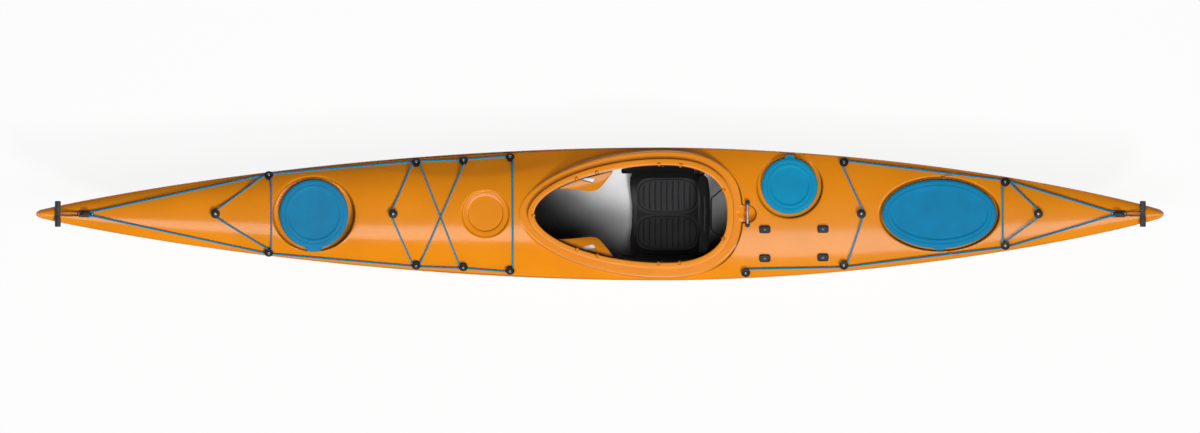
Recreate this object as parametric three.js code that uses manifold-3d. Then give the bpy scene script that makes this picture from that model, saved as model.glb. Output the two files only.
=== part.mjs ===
// Sea kayak: hull and deck shells with their bulkheads, keyhole cockpit, three hatches, seat,
// foot rests, deck lines on round fittings, and a carrying toggle at each end.
// Millimetres, +Z up. The bow points along -X and starboard is +Y. The origin lies on the floor,
// under the middle of the hull.
import * as THREE from 'three';
import { mergeVertices } from 'three/addons/utils/BufferGeometryUtils.js';
import Module from 'manifold-3d';

const wasm = await Module();
wasm.setup();

// Gap between neighbouring pieces, and how far a cutting solid runs past what it cuts.
const clearance = 0.3;
const overrun = 60;

const hull = {
  length: 5000,
  beam: 586,
  wall: 4,
  solidNose: 70,
  sheerHeight: 205,
  bowSheerRise: 190,
  sternSheerRise: 165,
  bowKeelRise: 325,
  sternKeelRise: 295,
  tipHalfWidth: 12,
  tipRounding: 20,
};
// Plan curve of each end, half-breadth = beam / 2 * (1 - s ** reach) ** fullness, and the section.
const planShares = {
  widest: 0.5532,
  bowReach: 1.92,
  bowFullness: 0.935,
  sternReach: 1.85,
  sternFullness: 0.9,
};
const profileShares = {
  flatKeel: 0.25,
  keelPower: 4.2,
  sheerPower: 2.6,
  keelFlatWidth: 0.2,
  tipWidth: 0.3,
};
const sectionShares = { midPower: 2.6, endPower: 1.55, changePower: 1.4 };
const hullTurnShares = [0, 0.16, 0.34, 0.52, 0.7, 0.87, 1];
const stationCount = 30;

// Height of the deck's ridge over the sheer, at the bow, before and behind the cockpit, and aft.
const deck = {
  bowCrown: 12,
  foreCrown: 105,
  aftCrown: 44,
  sternCrown: 14,
  crownBlend: 160,
};
const deckShares = { foreStation: 0.4272, aftStation: 0.6262, crownPower: 2.7, edgeFacet: 0.12 };
const deckAcrossShares = [0, 0.3, 0.58, 0.82, 1];
// Flat cut away facets beside the foredeck, where the paddle passes.
const cutawayShares = { start: 0.3, end: 0.474, extraWidth: 0.25, power: 0.8 };

const seam = { height: 15, overDeck: 2.4, thickness: 1.6 };

// Cockpit: an egg of two half superellipses, wider behind. Its inclined surround rises over the
// sheer, and the other heights are over that surround.
const cockpit = {
  length: 856,
  width: 432,
  frontRise: 101,
  rearRise: 44,
  surroundWidth: 61,
  surroundDraft: 8,
  riserWall: 4,
  riserTop: 19,
  riserFoot: 20,
  lipWidth: 29,
  lipThickness: 5,
  lipTurnDown: 4,
  lipRounding: 3,
};
const cockpitShares = { widestStation: 0.5546, frontLength: 0.66, frontPower: 1.85, rearPower: 2.5 };
const cockpitSteps = 32;

// Hatches. Each lid is a cap over a bonded rim, in a moulded recess of the deck.
const rim = {
  wall: 4,
  flangeWidth: 26,
  flangeThickness: 3,
  height: 18,
  beadWidth: 8,
  beadHeight: 5,
};
const lid = {
  overlap: 33,
  wall: 4,
  bottomGap: 1,
  topThickness: 4.2,
  ringHeight: 3,
  rounding: 4.5,
  ringInset: 3,
  tabThickness: 4,
};
const lidShares = { middle: 0.25, tabTip: 0.667 };
const recess = { draft: 7, height: 90 };
const hatches = {
  bow: { length: 307, width: 307, floorRise: 19, endMargin: 27, sideMargin: 12 },
  day: { length: 249, width: 249, floorRise: 19, endMargin: 21, sideMargin: 17 },
  stern: { length: 509, width: 307, floorRise: 5, endMargin: 10, sideMargin: 11 },
};
// Pull tab of each lid. A side of 1 is starboard.
const tabs = {
  bow: { width: 80, reach: 14, side: -1 },
  day: { width: 50, reach: 13, side: 1 },
  stern: { width: 58, reach: 8, side: -1 },
};
const hatchSteps = { bow: 24, day: 20, stern: 28 };
const hatchShares = {
  bow: { station: 0.246, across: 0, roll: 0 },
  day: { across: 0.452, roll: -0.07 },
  stern: { station: 0.8014, across: 0, roll: 0 },
};

const compassDish = { radius: 104, innerRadius: 77.5, depth: 12, innerDepth: 6, draft: 4 };
const grabDish = { radius: 38, depth: 26, floorRadius: 18 };
const dishShares = { bowl: 0.72 };
const dishSteps = 16;

const bulkhead = { thickness: 10, behindCockpit: 34 };
const bulkheadShares = { bow: 0.3208, day: 0.4 };
// Stretches between neighbours along the deck, on both sides of the cockpit.
const spacing = {
  compassToSurround: 43,
  lipToBar: 61.5,
  barToFrontEyes: 77,
  barToDayHatch: 187,
  dayHatchToRearEyes: 2.5,
  rearEyesToFittings: 93,
  seatFrontToWidest: 140,
};

// Seat, back band and thigh braces.
const seat = {
  length: 345,
  width: 366,
  wall: 4,
  floorHeight: 26,
  sideRise: 58,
  frontRise: 16,
  hangerLength: 130,
  hangerLift: 4,
  earLength: 46,
  earHeight: 42,
  bossRadius: 10,
};
const seatShares = { sidePower: 3, frontPower: 2.5, hangerStation: 0.34 };
const pad = { thickness: 20, edge: 5, channelDepth: 3.2, ridgeWidth: 9, frontGap: 30 };
const padShares = {
  seatLength: 0.7884,
  seatWidth: 0.8743,
  edgePower: 4.5,
  cornerPull: 0.05,
  ridgeDepth: 0.62,
};
const padChannels = 9;
const padRows = 5;
const band = {
  height: 150,
  thickness: 26,
  edge: 6,
  gapToPad: 5,
  pivotHeight: 93,
  lean: 34,
  wrap: 10,
  cordDiameter: 5,
};
const bandShares = {
  seatWidth: 0.94,
  edgePower: 3,
  corner: 0.08,
  cordHeight: 0.8,
  cordHalfWidth: 0.39,
  cordEnd: 0.5,
  cordSag: 0.45,
};
const brace = {
  length: 240,
  reach: 72,
  thickness: 5,
  drop: 16,
  flange: 22,
  slotLength: 66,
  slotWidth: 22,
  slotInset: 14,
};
const braceShares = { start: 0.126, slotCentre: 0.56 };
const braceReachShares = [
  [0, 0.06],
  [0.22, 0.42],
  [0.45, 0.78],
  [0.64, 1],
  [0.76, 0.93],
  [0.9, 0.5],
  [1, 0.12],
];

// Foot rests: a notched rail on each side and a pedal that slides along it.
const rail = {
  length: 400,
  height: 34,
  thickness: 9,
  centreHeight: 118,
  wallGap: 44,
  bossRadius: 13,
  notch: 8,
  notchDepth: 6,
  notches: 12,
  notchPitch: 16,
};
const railShares = { station: 0.404 };
const pedal = {
  height: 120,
  width: 82,
  thickness: 7,
  hookWall: 6,
  hookLength: 62,
  lean: 16,
  rib: 5,
};

// Round deck fittings, seen from above as a 40 mm disc with a bolt in the middle.
const fitting = {
  baseRadius: 15,
  baseThickness: 2.4,
  stemRadius: 7.5,
  capRadius: 20,
  capEdge: 3,
  capCrown: 2.6,
};
const fittingSides = 8;
const line = { diameter: 7.5 };
const bungee = { diameter: 6 };
const cordSides = 8;
const routeSteps = 24;
// Station along the hull and place across the half-breadth of each fitting.
const fittingShares = {
  bow_ridge_fitting: [0.1585, 0],
  bow_fitting_starboard: [0.2061, 0.885],
  bow_fitting_port: [0.2061, -0.885],
  foredeck_ridge_fitting: [0.3164, 0],
  foredeck_front_fitting_starboard: [0.3369, 0.88],
  foredeck_front_fitting_port: [0.3369, -0.88],
  foredeck_middle_fitting_starboard: [0.3788, 0.86],
  foredeck_middle_fitting_port: [0.3788, -0.86],
  foredeck_rear_fitting_starboard: [0.4203, 0.88],
  foredeck_rear_fitting_port: [0.4203, -0.88],
  quarter_fitting_port: [0.6293, -0.9],
  afterdeck_ridge_fitting: [0.7321, 0],
  stern_fitting_starboard: [0.8599, 0.83],
  stern_fitting_port: [0.8599, -0.83],
  stern_ridge_fitting: [0.8894, 0],
};
const afterdeckFittingShares = { afterdeck_fitting_starboard: 0.88, afterdeck_fitting_port: -0.88 };

// Two-bolt pad eyes at the ends, and the toggles that hang from them.
const padEye = {
  length: 73,
  width: 30,
  thickness: 3,
  archSpan: 32,
  archHeight: 21,
  rod: 7,
  boltSpan: 58,
  boltRadius: 4,
  boltHeight: 1.5,
};
const padEyeShares = { bow: 0.0434, stern: 0.9605, archPower: 0.7 };
const toggle = { length: 115, diameter: 27, waist: 21, cordDiameter: 5, cordSpread: 11 };
const toggleShares = { bow: 0.0187, stern: 0.982, end: 0.7 };
const toggleSides = 12;

// Steel security bar over its dish, and four strap eyes beside the day hatch.
const bar = { length: 100, diameter: 9, height: 17, bend: 12, footRadius: 9, footHeight: 4 };
const strapEye = {
  length: 50,
  width: 34,
  height: 12.4,
  corner: 7,
  bevel: 1.6,
  slotLength: 14,
  slotHeight: 7,
  slotFloor: 2.4,
  boltRadius: 4.5,
  boltHeight: 1,
};
const strapEyeShares = {
  strap_eye_front_inner: -0.248,
  strap_eye_front_outer: -0.702,
  strap_eye_rear_inner: -0.258,
  strap_eye_rear_outer: -0.735,
};

// Finishes.
const finishes = {
  gelcoat: { color: '#ec9221', roughness: 0.28, metalness: 0 },
  laminate: { color: '#b9bbbd', roughness: 0.6, metalness: 0 },
  seamTape: { color: '#c97a1d', roughness: 0.4, metalness: 0 },
  bowLid: { color: '#217fac', roughness: 0.5, metalness: 0 },
  dayLid: { color: '#0694c0', roughness: 0.5, metalness: 0 },
  sternLid: { color: '#0080b0', roughness: 0.5, metalness: 0 },
  plastic: { color: '#1c1c1e', roughness: 0.45, metalness: 0 },
  fabric: { color: '#18181a', roughness: 0.9, metalness: 0 },
  lineCord: { color: '#2184b8', roughness: 0.8, metalness: 0 },
  blackCord: { color: '#1f2124', roughness: 0.8, metalness: 0 },
  steel: { color: '#c3c6c9', roughness: 0.3, metalness: 1 },
  rail: { color: '#8d9094', roughness: 0.4, metalness: 1 },
};

// Helpers: closed meshes from rings, and solids that can be cut and joined.

// Closed geometry from points and triangles, turned so that its faces point out.
function closedGeometry(points, faces) {
  let volume = 0;
  for (const [a, b, c] of faces) {
    const [p, q, r] = [points[a], points[b], points[c]];
    volume += p[0] * (q[1] * r[2] - q[2] * r[1]) - p[1] * (q[0] * r[2] - q[2] * r[0])
      + p[2] * (q[0] * r[1] - q[1] * r[0]);
  }
  const order = volume < 0 ? faces.map(([a, b, c]) => [a, c, b]) : faces;
  const geometry = new THREE.BufferGeometry();
  geometry.setAttribute('position', new THREE.Float32BufferAttribute(points.flat(), 3));
  geometry.setIndex(order.flat());
  return geometry;
}

// Skin over a row of rings with as many points each, an even number. The ends of an open row are
// capped in strips, from each point to the one as far from the ring's end.
function loft(rings, joined = false) {
  const count = rings[0].length;
  const points = rings.flat();
  const faces = [];
  const spans = joined ? rings.length : rings.length - 1;
  for (let i = 0; i < spans; i += 1) {
    const here = i * count;
    const next = ((i + 1) % rings.length) * count;
    for (let j = 0; j < count; j += 1) {
      const k = (j + 1) % count;
      faces.push([here + j, next + j, next + k], [here + j, next + k, here + k]);
    }
  }
  const last = (rings.length - 1) * count;
  for (let j = 0; !joined && j < count / 2 - 1; j += 1) {
    const [across, beside] = [count - 1 - j, count - 2 - j];
    faces.push([j, j + 1, beside], [j, beside, across]);
    faces.push([last + j, last + beside, last + j + 1], [last + j, last + across, last + beside]);
  }
  return closedGeometry(points, faces);
}

function solid(geometry) {
  const bare = geometry.clone();
  bare.deleteAttribute('normal');
  bare.deleteAttribute('uv');
  const merged = mergeVertices(bare);
  const mesh = new wasm.Mesh({
    numProp: 3,
    vertProperties: Float32Array.from(merged.attributes.position.array),
    triVerts: Uint32Array.from(merged.index.array),
  });
  return new wasm.Manifold(mesh);
}

function geometryOf(manifold) {
  const mesh = manifold.getMesh();
  const geometry = new THREE.BufferGeometry();
  geometry.setAttribute('position', new THREE.Float32BufferAttribute(mesh.vertProperties, 3));
  geometry.setIndex(Array.from(mesh.triVerts));
  return geometry;
}

function place(geometry, matrix) {
  return geometry.applyMatrix4(matrix);
}

function move(geometry, x, y, z) {
  return geometry.translate(x, y, z);
}

function turned(profile, sides) {
  const outline = profile.map(([radius, height]) => new THREE.Vector2(radius, height));
  return new THREE.LatheGeometry(outline, sides).rotateX(Math.PI / 2);
}

// Plain round head or foot, from one height to another.
function button(radius, low, high) {
  return turned([[0, low], [radius, low], [radius, high], [0, high]], toggleSides);
}

// Prism of an outline in plan, from one height to another.
function prism(outline, bottom, top) {
  const shape = new THREE.Shape(outline.map(([x, y]) => new THREE.Vector2(x, y)));
  const block = new THREE.ExtrudeGeometry(shape, { depth: top - bottom, bevelEnabled: false });
  return move(block, 0, 0, bottom);
}

// A route of points whose own corners are the tube's rings.
class Route extends THREE.Curve {
  constructor(points) {
    super();
    this.points = points.map((point) => new THREE.Vector3(...point));
  }

  getPoint(t) {
    const along = t * (this.points.length - 1);
    const index = Math.min(Math.floor(along), this.points.length - 2);
    return this.points[index].clone().lerp(this.points[index + 1], along - index);
  }

  getPointAt(t) {
    return this.getPoint(t);
  }

  getTangentAt(t) {
    const index = Math.round(t * (this.points.length - 1));
    const before = this.points[Math.max(index - 1, 0)];
    const after = this.points[Math.min(index + 1, this.points.length - 1)];
    return after.clone().sub(before).normalize();
  }
}

function cordAlong(points, diameter, sides) {
  const section = new THREE.Shape();
  for (let i = 0; i < sides; i += 1) {
    const turn = (2 * Math.PI * i) / sides;
    const spot = [(Math.cos(turn) * diameter) / 2, (Math.sin(turn) * diameter) / 2];
    if (i === 0) section.moveTo(...spot);
    else section.lineTo(...spot);
  }
  section.closePath();
  return new THREE.ExtrudeGeometry(section, { extrudePath: new Route(points), steps: points.length - 1 });
}

function between(low, high, share) {
  return low + (high - low) * share;
}

// Value of a table of [place, value] rows at a place, on straight lines between them.
function fromTable(table, at) {
  const next = table.findIndex(([spot]) => spot >= at);
  if (next < 0) return table[table.length - 1][1];
  if (next === 0) return table[0][1];
  const [low, high] = [table[next - 1], table[next]];
  return between(low[1], high[1], (at - low[0]) / (high[0] - low[0]));
}

// The hull's form. Stations run along X from the bow to the stern.
const bowX = -hull.length / 2;
const sternX = hull.length / 2;
const stationAt = (share) => between(bowX, sternX, share);
const widestX = stationAt(planShares.widest);

function endShare(x) {
  return x < widestX ? (widestX - x) / (widestX - bowX) : (x - widestX) / (sternX - widestX);
}

function halfBreadth(x) {
  const fore = x < widestX;
  const reach = fore ? planShares.bowReach : planShares.sternReach;
  const fullness = fore ? planShares.bowFullness : planShares.sternFullness;
  const side = hull.beam / 2 - hull.tipHalfWidth;
  const plan = hull.tipHalfWidth + side * (1 - Math.min(endShare(x), 1) ** reach) ** fullness;
  const short = Math.max(1 - Math.min(x - bowX, sternX - x) / hull.tipRounding, 0);
  return plan * Math.max(Math.sqrt(1 - Math.min(short, 1) ** 2), profileShares.tipWidth);
}

function sheerHeight(x) {
  const rise = x < widestX ? hull.bowSheerRise : hull.sternSheerRise;
  return hull.sheerHeight + rise * endShare(x) ** profileShares.sheerPower;
}

function keelHeight(x) {
  const rise = x < widestX ? hull.bowKeelRise : hull.sternKeelRise;
  const past = Math.max(endShare(x) - profileShares.flatKeel, 0) / (1 - profileShares.flatKeel);
  return rise * past ** profileShares.keelPower;
}

// An inner form takes every second station.
function stations(margin) {
  const count = margin > 0 ? stationCount / 2 : stationCount;
  const low = bowX + margin;
  const high = sternX - margin;
  const shares = Array.from({ length: count + 1 }, (_, i) => (1 - Math.cos((Math.PI * i) / count)) / 2);
  return shares.map((share) => between(low, high, share));
}

function mirrored(side) {
  return [...side, ...side.slice().reverse().map(([x, y, z]) => [x, -y, z])];
}

// Points of one hull section, from the starboard sheer round the flat keel to the port sheer.
function hullRing(x, inset, top) {
  const half = halfBreadth(x) - inset;
  const keel = keelHeight(x) + inset;
  const sheer = sheerHeight(x);
  const flat = half * profileShares.keelFlatWidth;
  const slimness = endShare(x) ** sectionShares.changePower;
  const power = 2 / between(sectionShares.midPower, sectionShares.endPower, slimness);
  const side = hullTurnShares.slice(1).map((share) => {
    const turn = (share * Math.PI) / 2;
    const out = Math.max(Math.cos(turn), 0) ** power;
    return [x, flat + (half - flat) * out, sheer - (sheer - keel) * Math.sin(turn) ** power];
  });
  const edge = top > 0 ? [[x, half, sheer + top], [x, half, sheer]] : [[x, half, sheer + top]];
  return mirrored([...edge, ...side]);
}

function hullForm(inset, top, margin) {
  return solid(loft(stations(margin).map((x) => hullRing(x, inset, top))));
}

// The deck's form over the sheer: a crown, with a flat facet along each edge.
const crownTable = [
  [bowX, deck.bowCrown],
  [stationAt(deckShares.foreStation), deck.foreCrown],
  [stationAt(deckShares.aftStation), deck.aftCrown],
  [sternX, deck.sternCrown],
];

function crownHeight(x) {
  const spots = [-1, -0.5, 0, 0.5, 1].map((share) => fromTable(crownTable, x + share * deck.crownBlend));
  return spots.reduce((sum, value) => sum + value, 0) / spots.length;
}

function facetShare(x) {
  const start = stationAt(cutawayShares.start);
  const along = (x - start) / (stationAt(cutawayShares.end) - start);
  const bump = along > 0 && along < 1 ? Math.sin(Math.PI * along) ** cutawayShares.power : 0;
  return deckShares.edgeFacet + cutawayShares.extraWidth * bump;
}

function deckTop(x, y) {
  const across = Math.abs(y) / halfBreadth(x);
  const crease = 1 - facetShare(x);
  const crown = crownHeight(x);
  if (across <= crease) return sheerHeight(x) + crown * (1 - across ** deckShares.crownPower);
  return sheerHeight(x) + crown * (1 - crease ** deckShares.crownPower) * (1 - across) / (1 - crease);
}

function deckRing(x, inset, bottom) {
  const half = halfBreadth(x);
  const crease = 1 - facetShare(x);
  const crown = deckAcrossShares.map((share) => share * crease).map((share) => {
    return [x, share * (half - inset), deckTop(x, share * half) - inset];
  });
  const foot = [x, half - inset, sheerHeight(x) + bottom];
  const edge = bottom < 0 ? [foot, [x, half - inset, sheerHeight(x) - inset]] : [foot];
  const ring = mirrored([...edge, ...crown.reverse()]);
  return ring.filter((point, i) => i === 0 || point[1] !== 0 || ring[i - 1][1] !== 0);
}

function deckForm(inset, bottom, margin) {
  return solid(loft(stations(margin).map((x) => deckRing(x, inset, bottom))));
}

// The cockpit's outline at an offset from its opening, and the inclined top of its surround.
const cockpitX = stationAt(cockpitShares.widestStation);
const frontReach = cockpit.length * cockpitShares.frontLength;
const rearReach = cockpit.length - frontReach;
const cockpitRear = cockpitX + rearReach;
const surroundFront = cockpitX - frontReach - cockpit.surroundWidth - cockpit.surroundDraft;

// Places of the pieces that follow the cockpit along the deck.
const compassX = surroundFront - spacing.compassToSurround - compassDish.radius;
const grabX = cockpitRear + cockpit.lipWidth + spacing.lipToBar;
const dayHatchX = grabX + spacing.barToDayHatch;
const dayHatchRear = dayHatchX + hatches.day.length / 2 + hatches.day.endMargin;
const sternHatchX = stationAt(hatchShares.stern.station);
const sternHatchFront = sternHatchX - hatches.stern.length / 2 - hatches.stern.endMargin;
const hatchPlaces = { bow: stationAt(hatchShares.bow.station), day: dayHatchX, stern: sternHatchX };
const bulkheadPlaces = {
  bow: stationAt(bulkheadShares.bow),
  aft: cockpitRear + bulkhead.behindCockpit + bulkhead.thickness / 2,
  day: between(dayHatchRear, sternHatchFront, bulkheadShares.day),
};

function cockpitOutline(offset, steps = cockpitSteps) {
  return Array.from({ length: steps }, (_, i) => {
    const turn = (2 * Math.PI * i) / steps;
    const fore = Math.cos(turn) < 0;
    const power = 2 / (fore ? cockpitShares.frontPower : cockpitShares.rearPower);
    const reach = (fore ? frontReach : rearReach) + offset;
    const x = cockpitX + Math.sign(Math.cos(turn)) * reach * Math.abs(Math.cos(turn)) ** power;
    const y = Math.sign(Math.sin(turn)) * (cockpit.width / 2 + offset) * Math.abs(Math.sin(turn)) ** power;
    return [x, y];
  });
}

// Half-width of the faceted outline at a station.
function cockpitHalfWidth(x, offset) {
  const side = cockpitOutline(offset).filter((point) => point[1] >= 0).sort((a, b) => a[0] - b[0]);
  return fromTable(side, x);
}

function surroundTop(x) {
  const front = cockpitX - frontReach;
  return hull.sheerHeight + between(cockpit.frontRise, cockpit.rearRise, (x - front) / cockpit.length);
}

function surroundForm(inset, bottom) {
  const wide = cockpit.surroundWidth - inset;
  const footOutline = cockpitOutline(wide + cockpit.surroundDraft);
  const foot = (rise) => footOutline.map(([x, y]) => [x, y, sheerHeight(x) + rise]);
  const head = cockpitOutline(wide).map(([x, y]) => [x, y, surroundTop(x) - inset]);
  return solid(loft(bottom < 0 ? [foot(bottom), foot(0), head] : [foot(bottom), head]));
}

// Space over the surround, which is let into the deck where the deck stands higher behind it.
function surroundCut(inset) {
  const outline = cockpitOutline(cockpit.surroundWidth + inset);
  const level = (rise) => outline.map(([x, y]) => [x, y, surroundTop(x) + rise]);
  return solid(loft([level(-inset), level(overrun)]));
}

// A ring or a plug that follows an outline: each profile point is an offset and a height.
function followRing(outline, profile, height) {
  const rows = profile.map(([offset, rise]) => outline(offset).map(([x, y]) => [x, y, height(x) + rise]));
  const rings = rows[0].map((_, i) => rows.map((row) => row[i]));
  return loft(rings, true);
}

function followPlug(outline, profile) {
  const rings = profile.map(([offset, rise]) => outline(offset).map(([x, y]) => [x, y, rise]));
  return loft(rings);
}

// Hatches. An outline is an ellipse, given in the hatch's own frame.
function ellipse(length, width, steps) {
  return (offset) => Array.from({ length: steps }, (_, i) => {
    const turn = (2 * Math.PI * i) / steps;
    return [Math.cos(turn) * (length / 2 + offset), Math.sin(turn) * (width / 2 + offset)];
  });
}

// Frame of a flat seat in the deck: it follows the ridge along and may roll outboard.
function seatFrame(x, y, z, roll) {
  const slope = (deckTop(x + deck.crownBlend, 0) - deckTop(x - deck.crownBlend, 0)) / (2 * deck.crownBlend);
  const forward = new THREE.Vector3(1, 0, slope).normalize();
  const up = new THREE.Vector3(0, 0, 1).applyAxisAngle(new THREE.Vector3(1, 0, 0), roll);
  up.addScaledVector(forward, -up.dot(forward)).normalize();
  const side = up.clone().cross(forward);
  return new THREE.Matrix4().makeBasis(forward, side, up).setPosition(x, y, z);
}

function hatchFrame(name) {
  const { across, roll } = hatchShares[name];
  const x = hatchPlaces[name];
  return seatFrame(x, across * halfBreadth(x), sheerHeight(x) + hatches[name].floorRise, roll);
}

function hatchOutline(name) {
  const { length, width } = hatches[name];
  return ellipse(length, width, hatchSteps[name]);
}

function recessOutline(name) {
  const { length, width, endMargin, sideMargin } = hatches[name];
  return ellipse(length + 2 * endMargin, width + 2 * sideMargin, hatchSteps[name]);
}

function recessCut(name, inset) {
  const outline = recessOutline(name);
  const { draft, height } = recess;
  const share = draft / height;
  const wide = inset - draft;
  const plug = followPlug(outline, [[wide, -inset], [wide + (height + inset) * share, height]]);
  return solid(place(plug, hatchFrame(name)));
}

// Level ground under a recess, where the deck falls away beside it.
function recessGround(name) {
  return solid(place(followPlug(recessOutline(name), [[0, -recess.height], [0, 0]]), hatchFrame(name)));
}

function hatchHole(name) {
  const hole = followPlug(hatchOutline(name), [[-lid.overlap, -overrun], [-lid.overlap, overrun]]);
  return solid(place(hole, hatchFrame(name)));
}

function compassCut(inset) {
  const { radius, innerRadius, depth, innerDepth, draft } = compassDish;
  const round = ellipse(2 * radius, 2 * radius, dishSteps);
  const inner = innerRadius - radius;
  const plain = [[inset, -depth - innerDepth - inset], [inset + draft, overrun]];
  const profile = inset > 0 ? plain : [
    [inner - draft + inset, -depth - innerDepth - inset],
    [inner + inset, -depth - inset],
    [inset - draft, -depth - inset],
    [inset + draft, overrun],
  ];
  return solid(place(followPlug(round, profile), seatFrame(compassX, 0, deckTop(compassX, 0), 0)));
}

function grabCut(inset) {
  const { radius, depth, floorRadius } = grabDish;
  const round = ellipse(2 * radius, 2 * radius, dishSteps);
  const middle = (radius + floorRadius) / 2;
  const plain = [[inset, -depth - inset], [inset, overrun]];
  const profile = inset > 0 ? plain : [
    [floorRadius - radius + inset, -depth - inset],
    [middle - radius + inset, -depth * dishShares.bowl - inset],
    [inset, 0],
    [inset, overrun],
  ];
  return solid(place(followPlug(round, profile), seatFrame(grabX, 0, deckTop(grabX, 0), 0)));
}

const hatchNames = Object.keys(hatches);

function hullShell() {
  const outer = hullForm(0, -clearance / 2, 0);
  return geometryOf(outer.subtract(hullForm(hull.wall, overrun, hull.solidNose)));
}

function deckShell() {
  const grounds = hatchNames.map((name) => recessGround(name));
  const within = deckBounds();
  let outer = deckForm(0, clearance / 2, 0).add(surroundForm(0, clearance / 2));
  for (const ground of grounds) outer = outer.add(ground.intersect(within));
  let inner = deckForm(hull.wall, -overrun, hull.solidNose).add(surroundForm(hull.wall, -overrun));
  for (const name of hatchNames) {
    outer = outer.subtract(recessCut(name, 0)).subtract(hatchHole(name));
    inner = inner.subtract(recessCut(name, hull.wall));
  }
  for (const cut of [compassCut, grabCut, surroundCut]) {
    outer = outer.subtract(cut(0));
    inner = inner.subtract(cut(hull.wall));
  }
  const overSurround = surroundTop(cockpitX - frontReach) + overrun;
  const opening = prism(cockpitOutline(cockpit.riserWall + clearance), 0, overSurround);
  return geometryOf(outer.subtract(inner).subtract(solid(opening)));
}

// Space over the sheer and inside the plan, which no part of the deck leaves.
function deckBounds() {
  const rings = stations(0).map((x) => {
    const half = halfBreadth(x);
    const low = sheerHeight(x) + clearance / 2;
    return [[x, half, low], [x, half, low + overrun], [x, -half, low + overrun], [x, -half, low]];
  });
  return solid(loft(rings));
}

// Tape over the joint of hull and deck, round the whole boat.
function seamBand() {
  const row = stations(0);
  const loop = [...row.map((x) => [x, 1]), ...row.slice().reverse().map((x) => [x, -1])];
  const rings = loop.map(([x, side], i) => {
    const before = loop[(i + loop.length - 1) % loop.length];
    const after = loop[(i + 1) % loop.length];
    const along = new THREE.Vector2(
      after[0] - before[0],
      after[1] * halfBreadth(after[0]) - before[1] * halfBreadth(before[0]),
    ).normalize();
    const point = (offset, rise) => [
      x - along.y * offset,
      side * halfBreadth(x) + along.x * offset,
      sheerHeight(x) + rise,
    ];
    const { height, overDeck, thickness } = seam;
    return [
      point(clearance, overDeck - height),
      point(clearance + thickness, overDeck - height + thickness),
      point(clearance + thickness, overDeck - thickness),
      point(clearance, overDeck),
    ];
  });
  return loft(rings, true);
}

// Space inside both shells, less a clearance.
function hold() {
  const inset = hull.wall + clearance;
  const up = deck.foreCrown + overrun;
  const down = hull.sheerHeight + hull.bowSheerRise;
  const under = deckForm(inset, -down, hull.solidNose).add(surroundForm(inset, -down));
  return hullForm(inset, up, hull.solidNose).intersect(under).subtract(surroundCut(inset));
}

function bulkheadPanel(x) {
  const { length, beam } = hull;
  const slab = new THREE.BoxGeometry(bulkhead.thickness, beam, length);
  return geometryOf(hold().intersect(solid(move(slab, x, 0, 0))));
}

function cockpitCoaming() {
  const { riserWall, riserTop, riserFoot, lipWidth, lipThickness, lipTurnDown, lipRounding } = cockpit;
  const profile = [
    [0, -riserFoot],
    [0, riserTop - lipRounding],
    [lipRounding, riserTop],
    [lipWidth - lipRounding, riserTop],
    [lipWidth, riserTop - lipRounding],
    [lipWidth, riserTop - lipThickness - lipTurnDown],
    [lipWidth - lipRounding, riserTop - lipThickness - lipTurnDown],
    [lipWidth - lipThickness - lipRounding, riserTop - lipThickness],
    [riserWall, riserTop - lipThickness],
    [riserWall, -riserFoot],
  ];
  return followRing(cockpitOutline, profile, surroundTop);
}

function hatchRim(name) {
  const { wall, flangeWidth, flangeThickness, height, beadWidth, beadHeight } = rim;
  const opening = -lid.overlap;
  const profile = [
    [opening, clearance],
    [opening + flangeWidth, clearance],
    [opening + flangeWidth, clearance + flangeThickness],
    [opening + wall, clearance + flangeThickness],
    [opening + wall, height - beadHeight],
    [opening + beadWidth, height - beadHeight],
    [opening + beadWidth, height],
    [opening, height],
  ];
  return place(followRing(hatchOutline(name), profile, () => 0), hatchFrame(name));
}

// A rubber cap: a raised ring round a flat panel, a skirt over the rim, and a pull tab.
function hatchLid(name) {
  const { length, width } = hatches[name];
  const { wall, overlap, bottomGap, topThickness, ringHeight, rounding, ringInset, tabThickness } = lid;
  const panel = -overlap - ringInset;
  const under = rim.height + clearance;
  const top = under + topThickness + ringHeight;
  const middle = -Math.min(length, width) * lidShares.middle;
  const profile = [
    [middle, top - ringHeight],
    [panel - ringInset, top - ringHeight],
    [panel, top],
    [-rounding, top],
    [0, top - rounding],
    [0, bottomGap],
    [-wall, bottomGap],
    [-wall, under],
    [middle, under],
  ];
  const tab = tabs[name];
  const wide = tab.width / 2;
  const reach = width / 2 + tab.reach;
  const tabLow = under - clearance;
  const tabOutline = [
    [-wide, width / 2 - wall],
    [wide, width / 2 - wall],
    [wide * lidShares.tabTip, reach],
    [-wide * lidShares.tabTip, reach],
  ].map(([x, y]) => [x, y * tab.side]);
  const cap = solid(followPlug(hatchOutline(name), profile));
  const tabPlate = solid(prism(tabOutline, tabLow, tabLow + tabThickness));
  return place(geometryOf(cap.add(tabPlate)), hatchFrame(name));
}

// Seat pan: a bucket whose sides and front curve up, hung from the coaming by a plate on each side.
const seatFrontX = cockpitX - spacing.seatFrontToWidest;
const seatRearX = seatFrontX + seat.length;
const padLength = seat.length * padShares.seatLength;
const padWidth = seat.width * padShares.seatWidth;
const bandWidth = seat.width * bandShares.seatWidth;

function panHeight(x, y) {
  const toFront = Math.max((seatRearX - x) / seat.length, 0);
  const side = Math.abs(y) / (seat.width / 2);
  const frontCurl = seat.frontRise * toFront ** seatShares.frontPower;
  return seat.floorHeight + seat.sideRise * side ** seatShares.sidePower + frontCurl;
}

// Closed sheet over a grid of columns along X and rows across Y, each point a [top, bottom] pair.
function sheetBetween(columns, rows, point) {
  const rings = columns.map((u) => {
    const top = rows.map((v) => point(u, v, true));
    const bottom = rows.map((v) => point(u, v, false)).reverse();
    return [...top, ...bottom];
  });
  return loft(rings);
}

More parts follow.
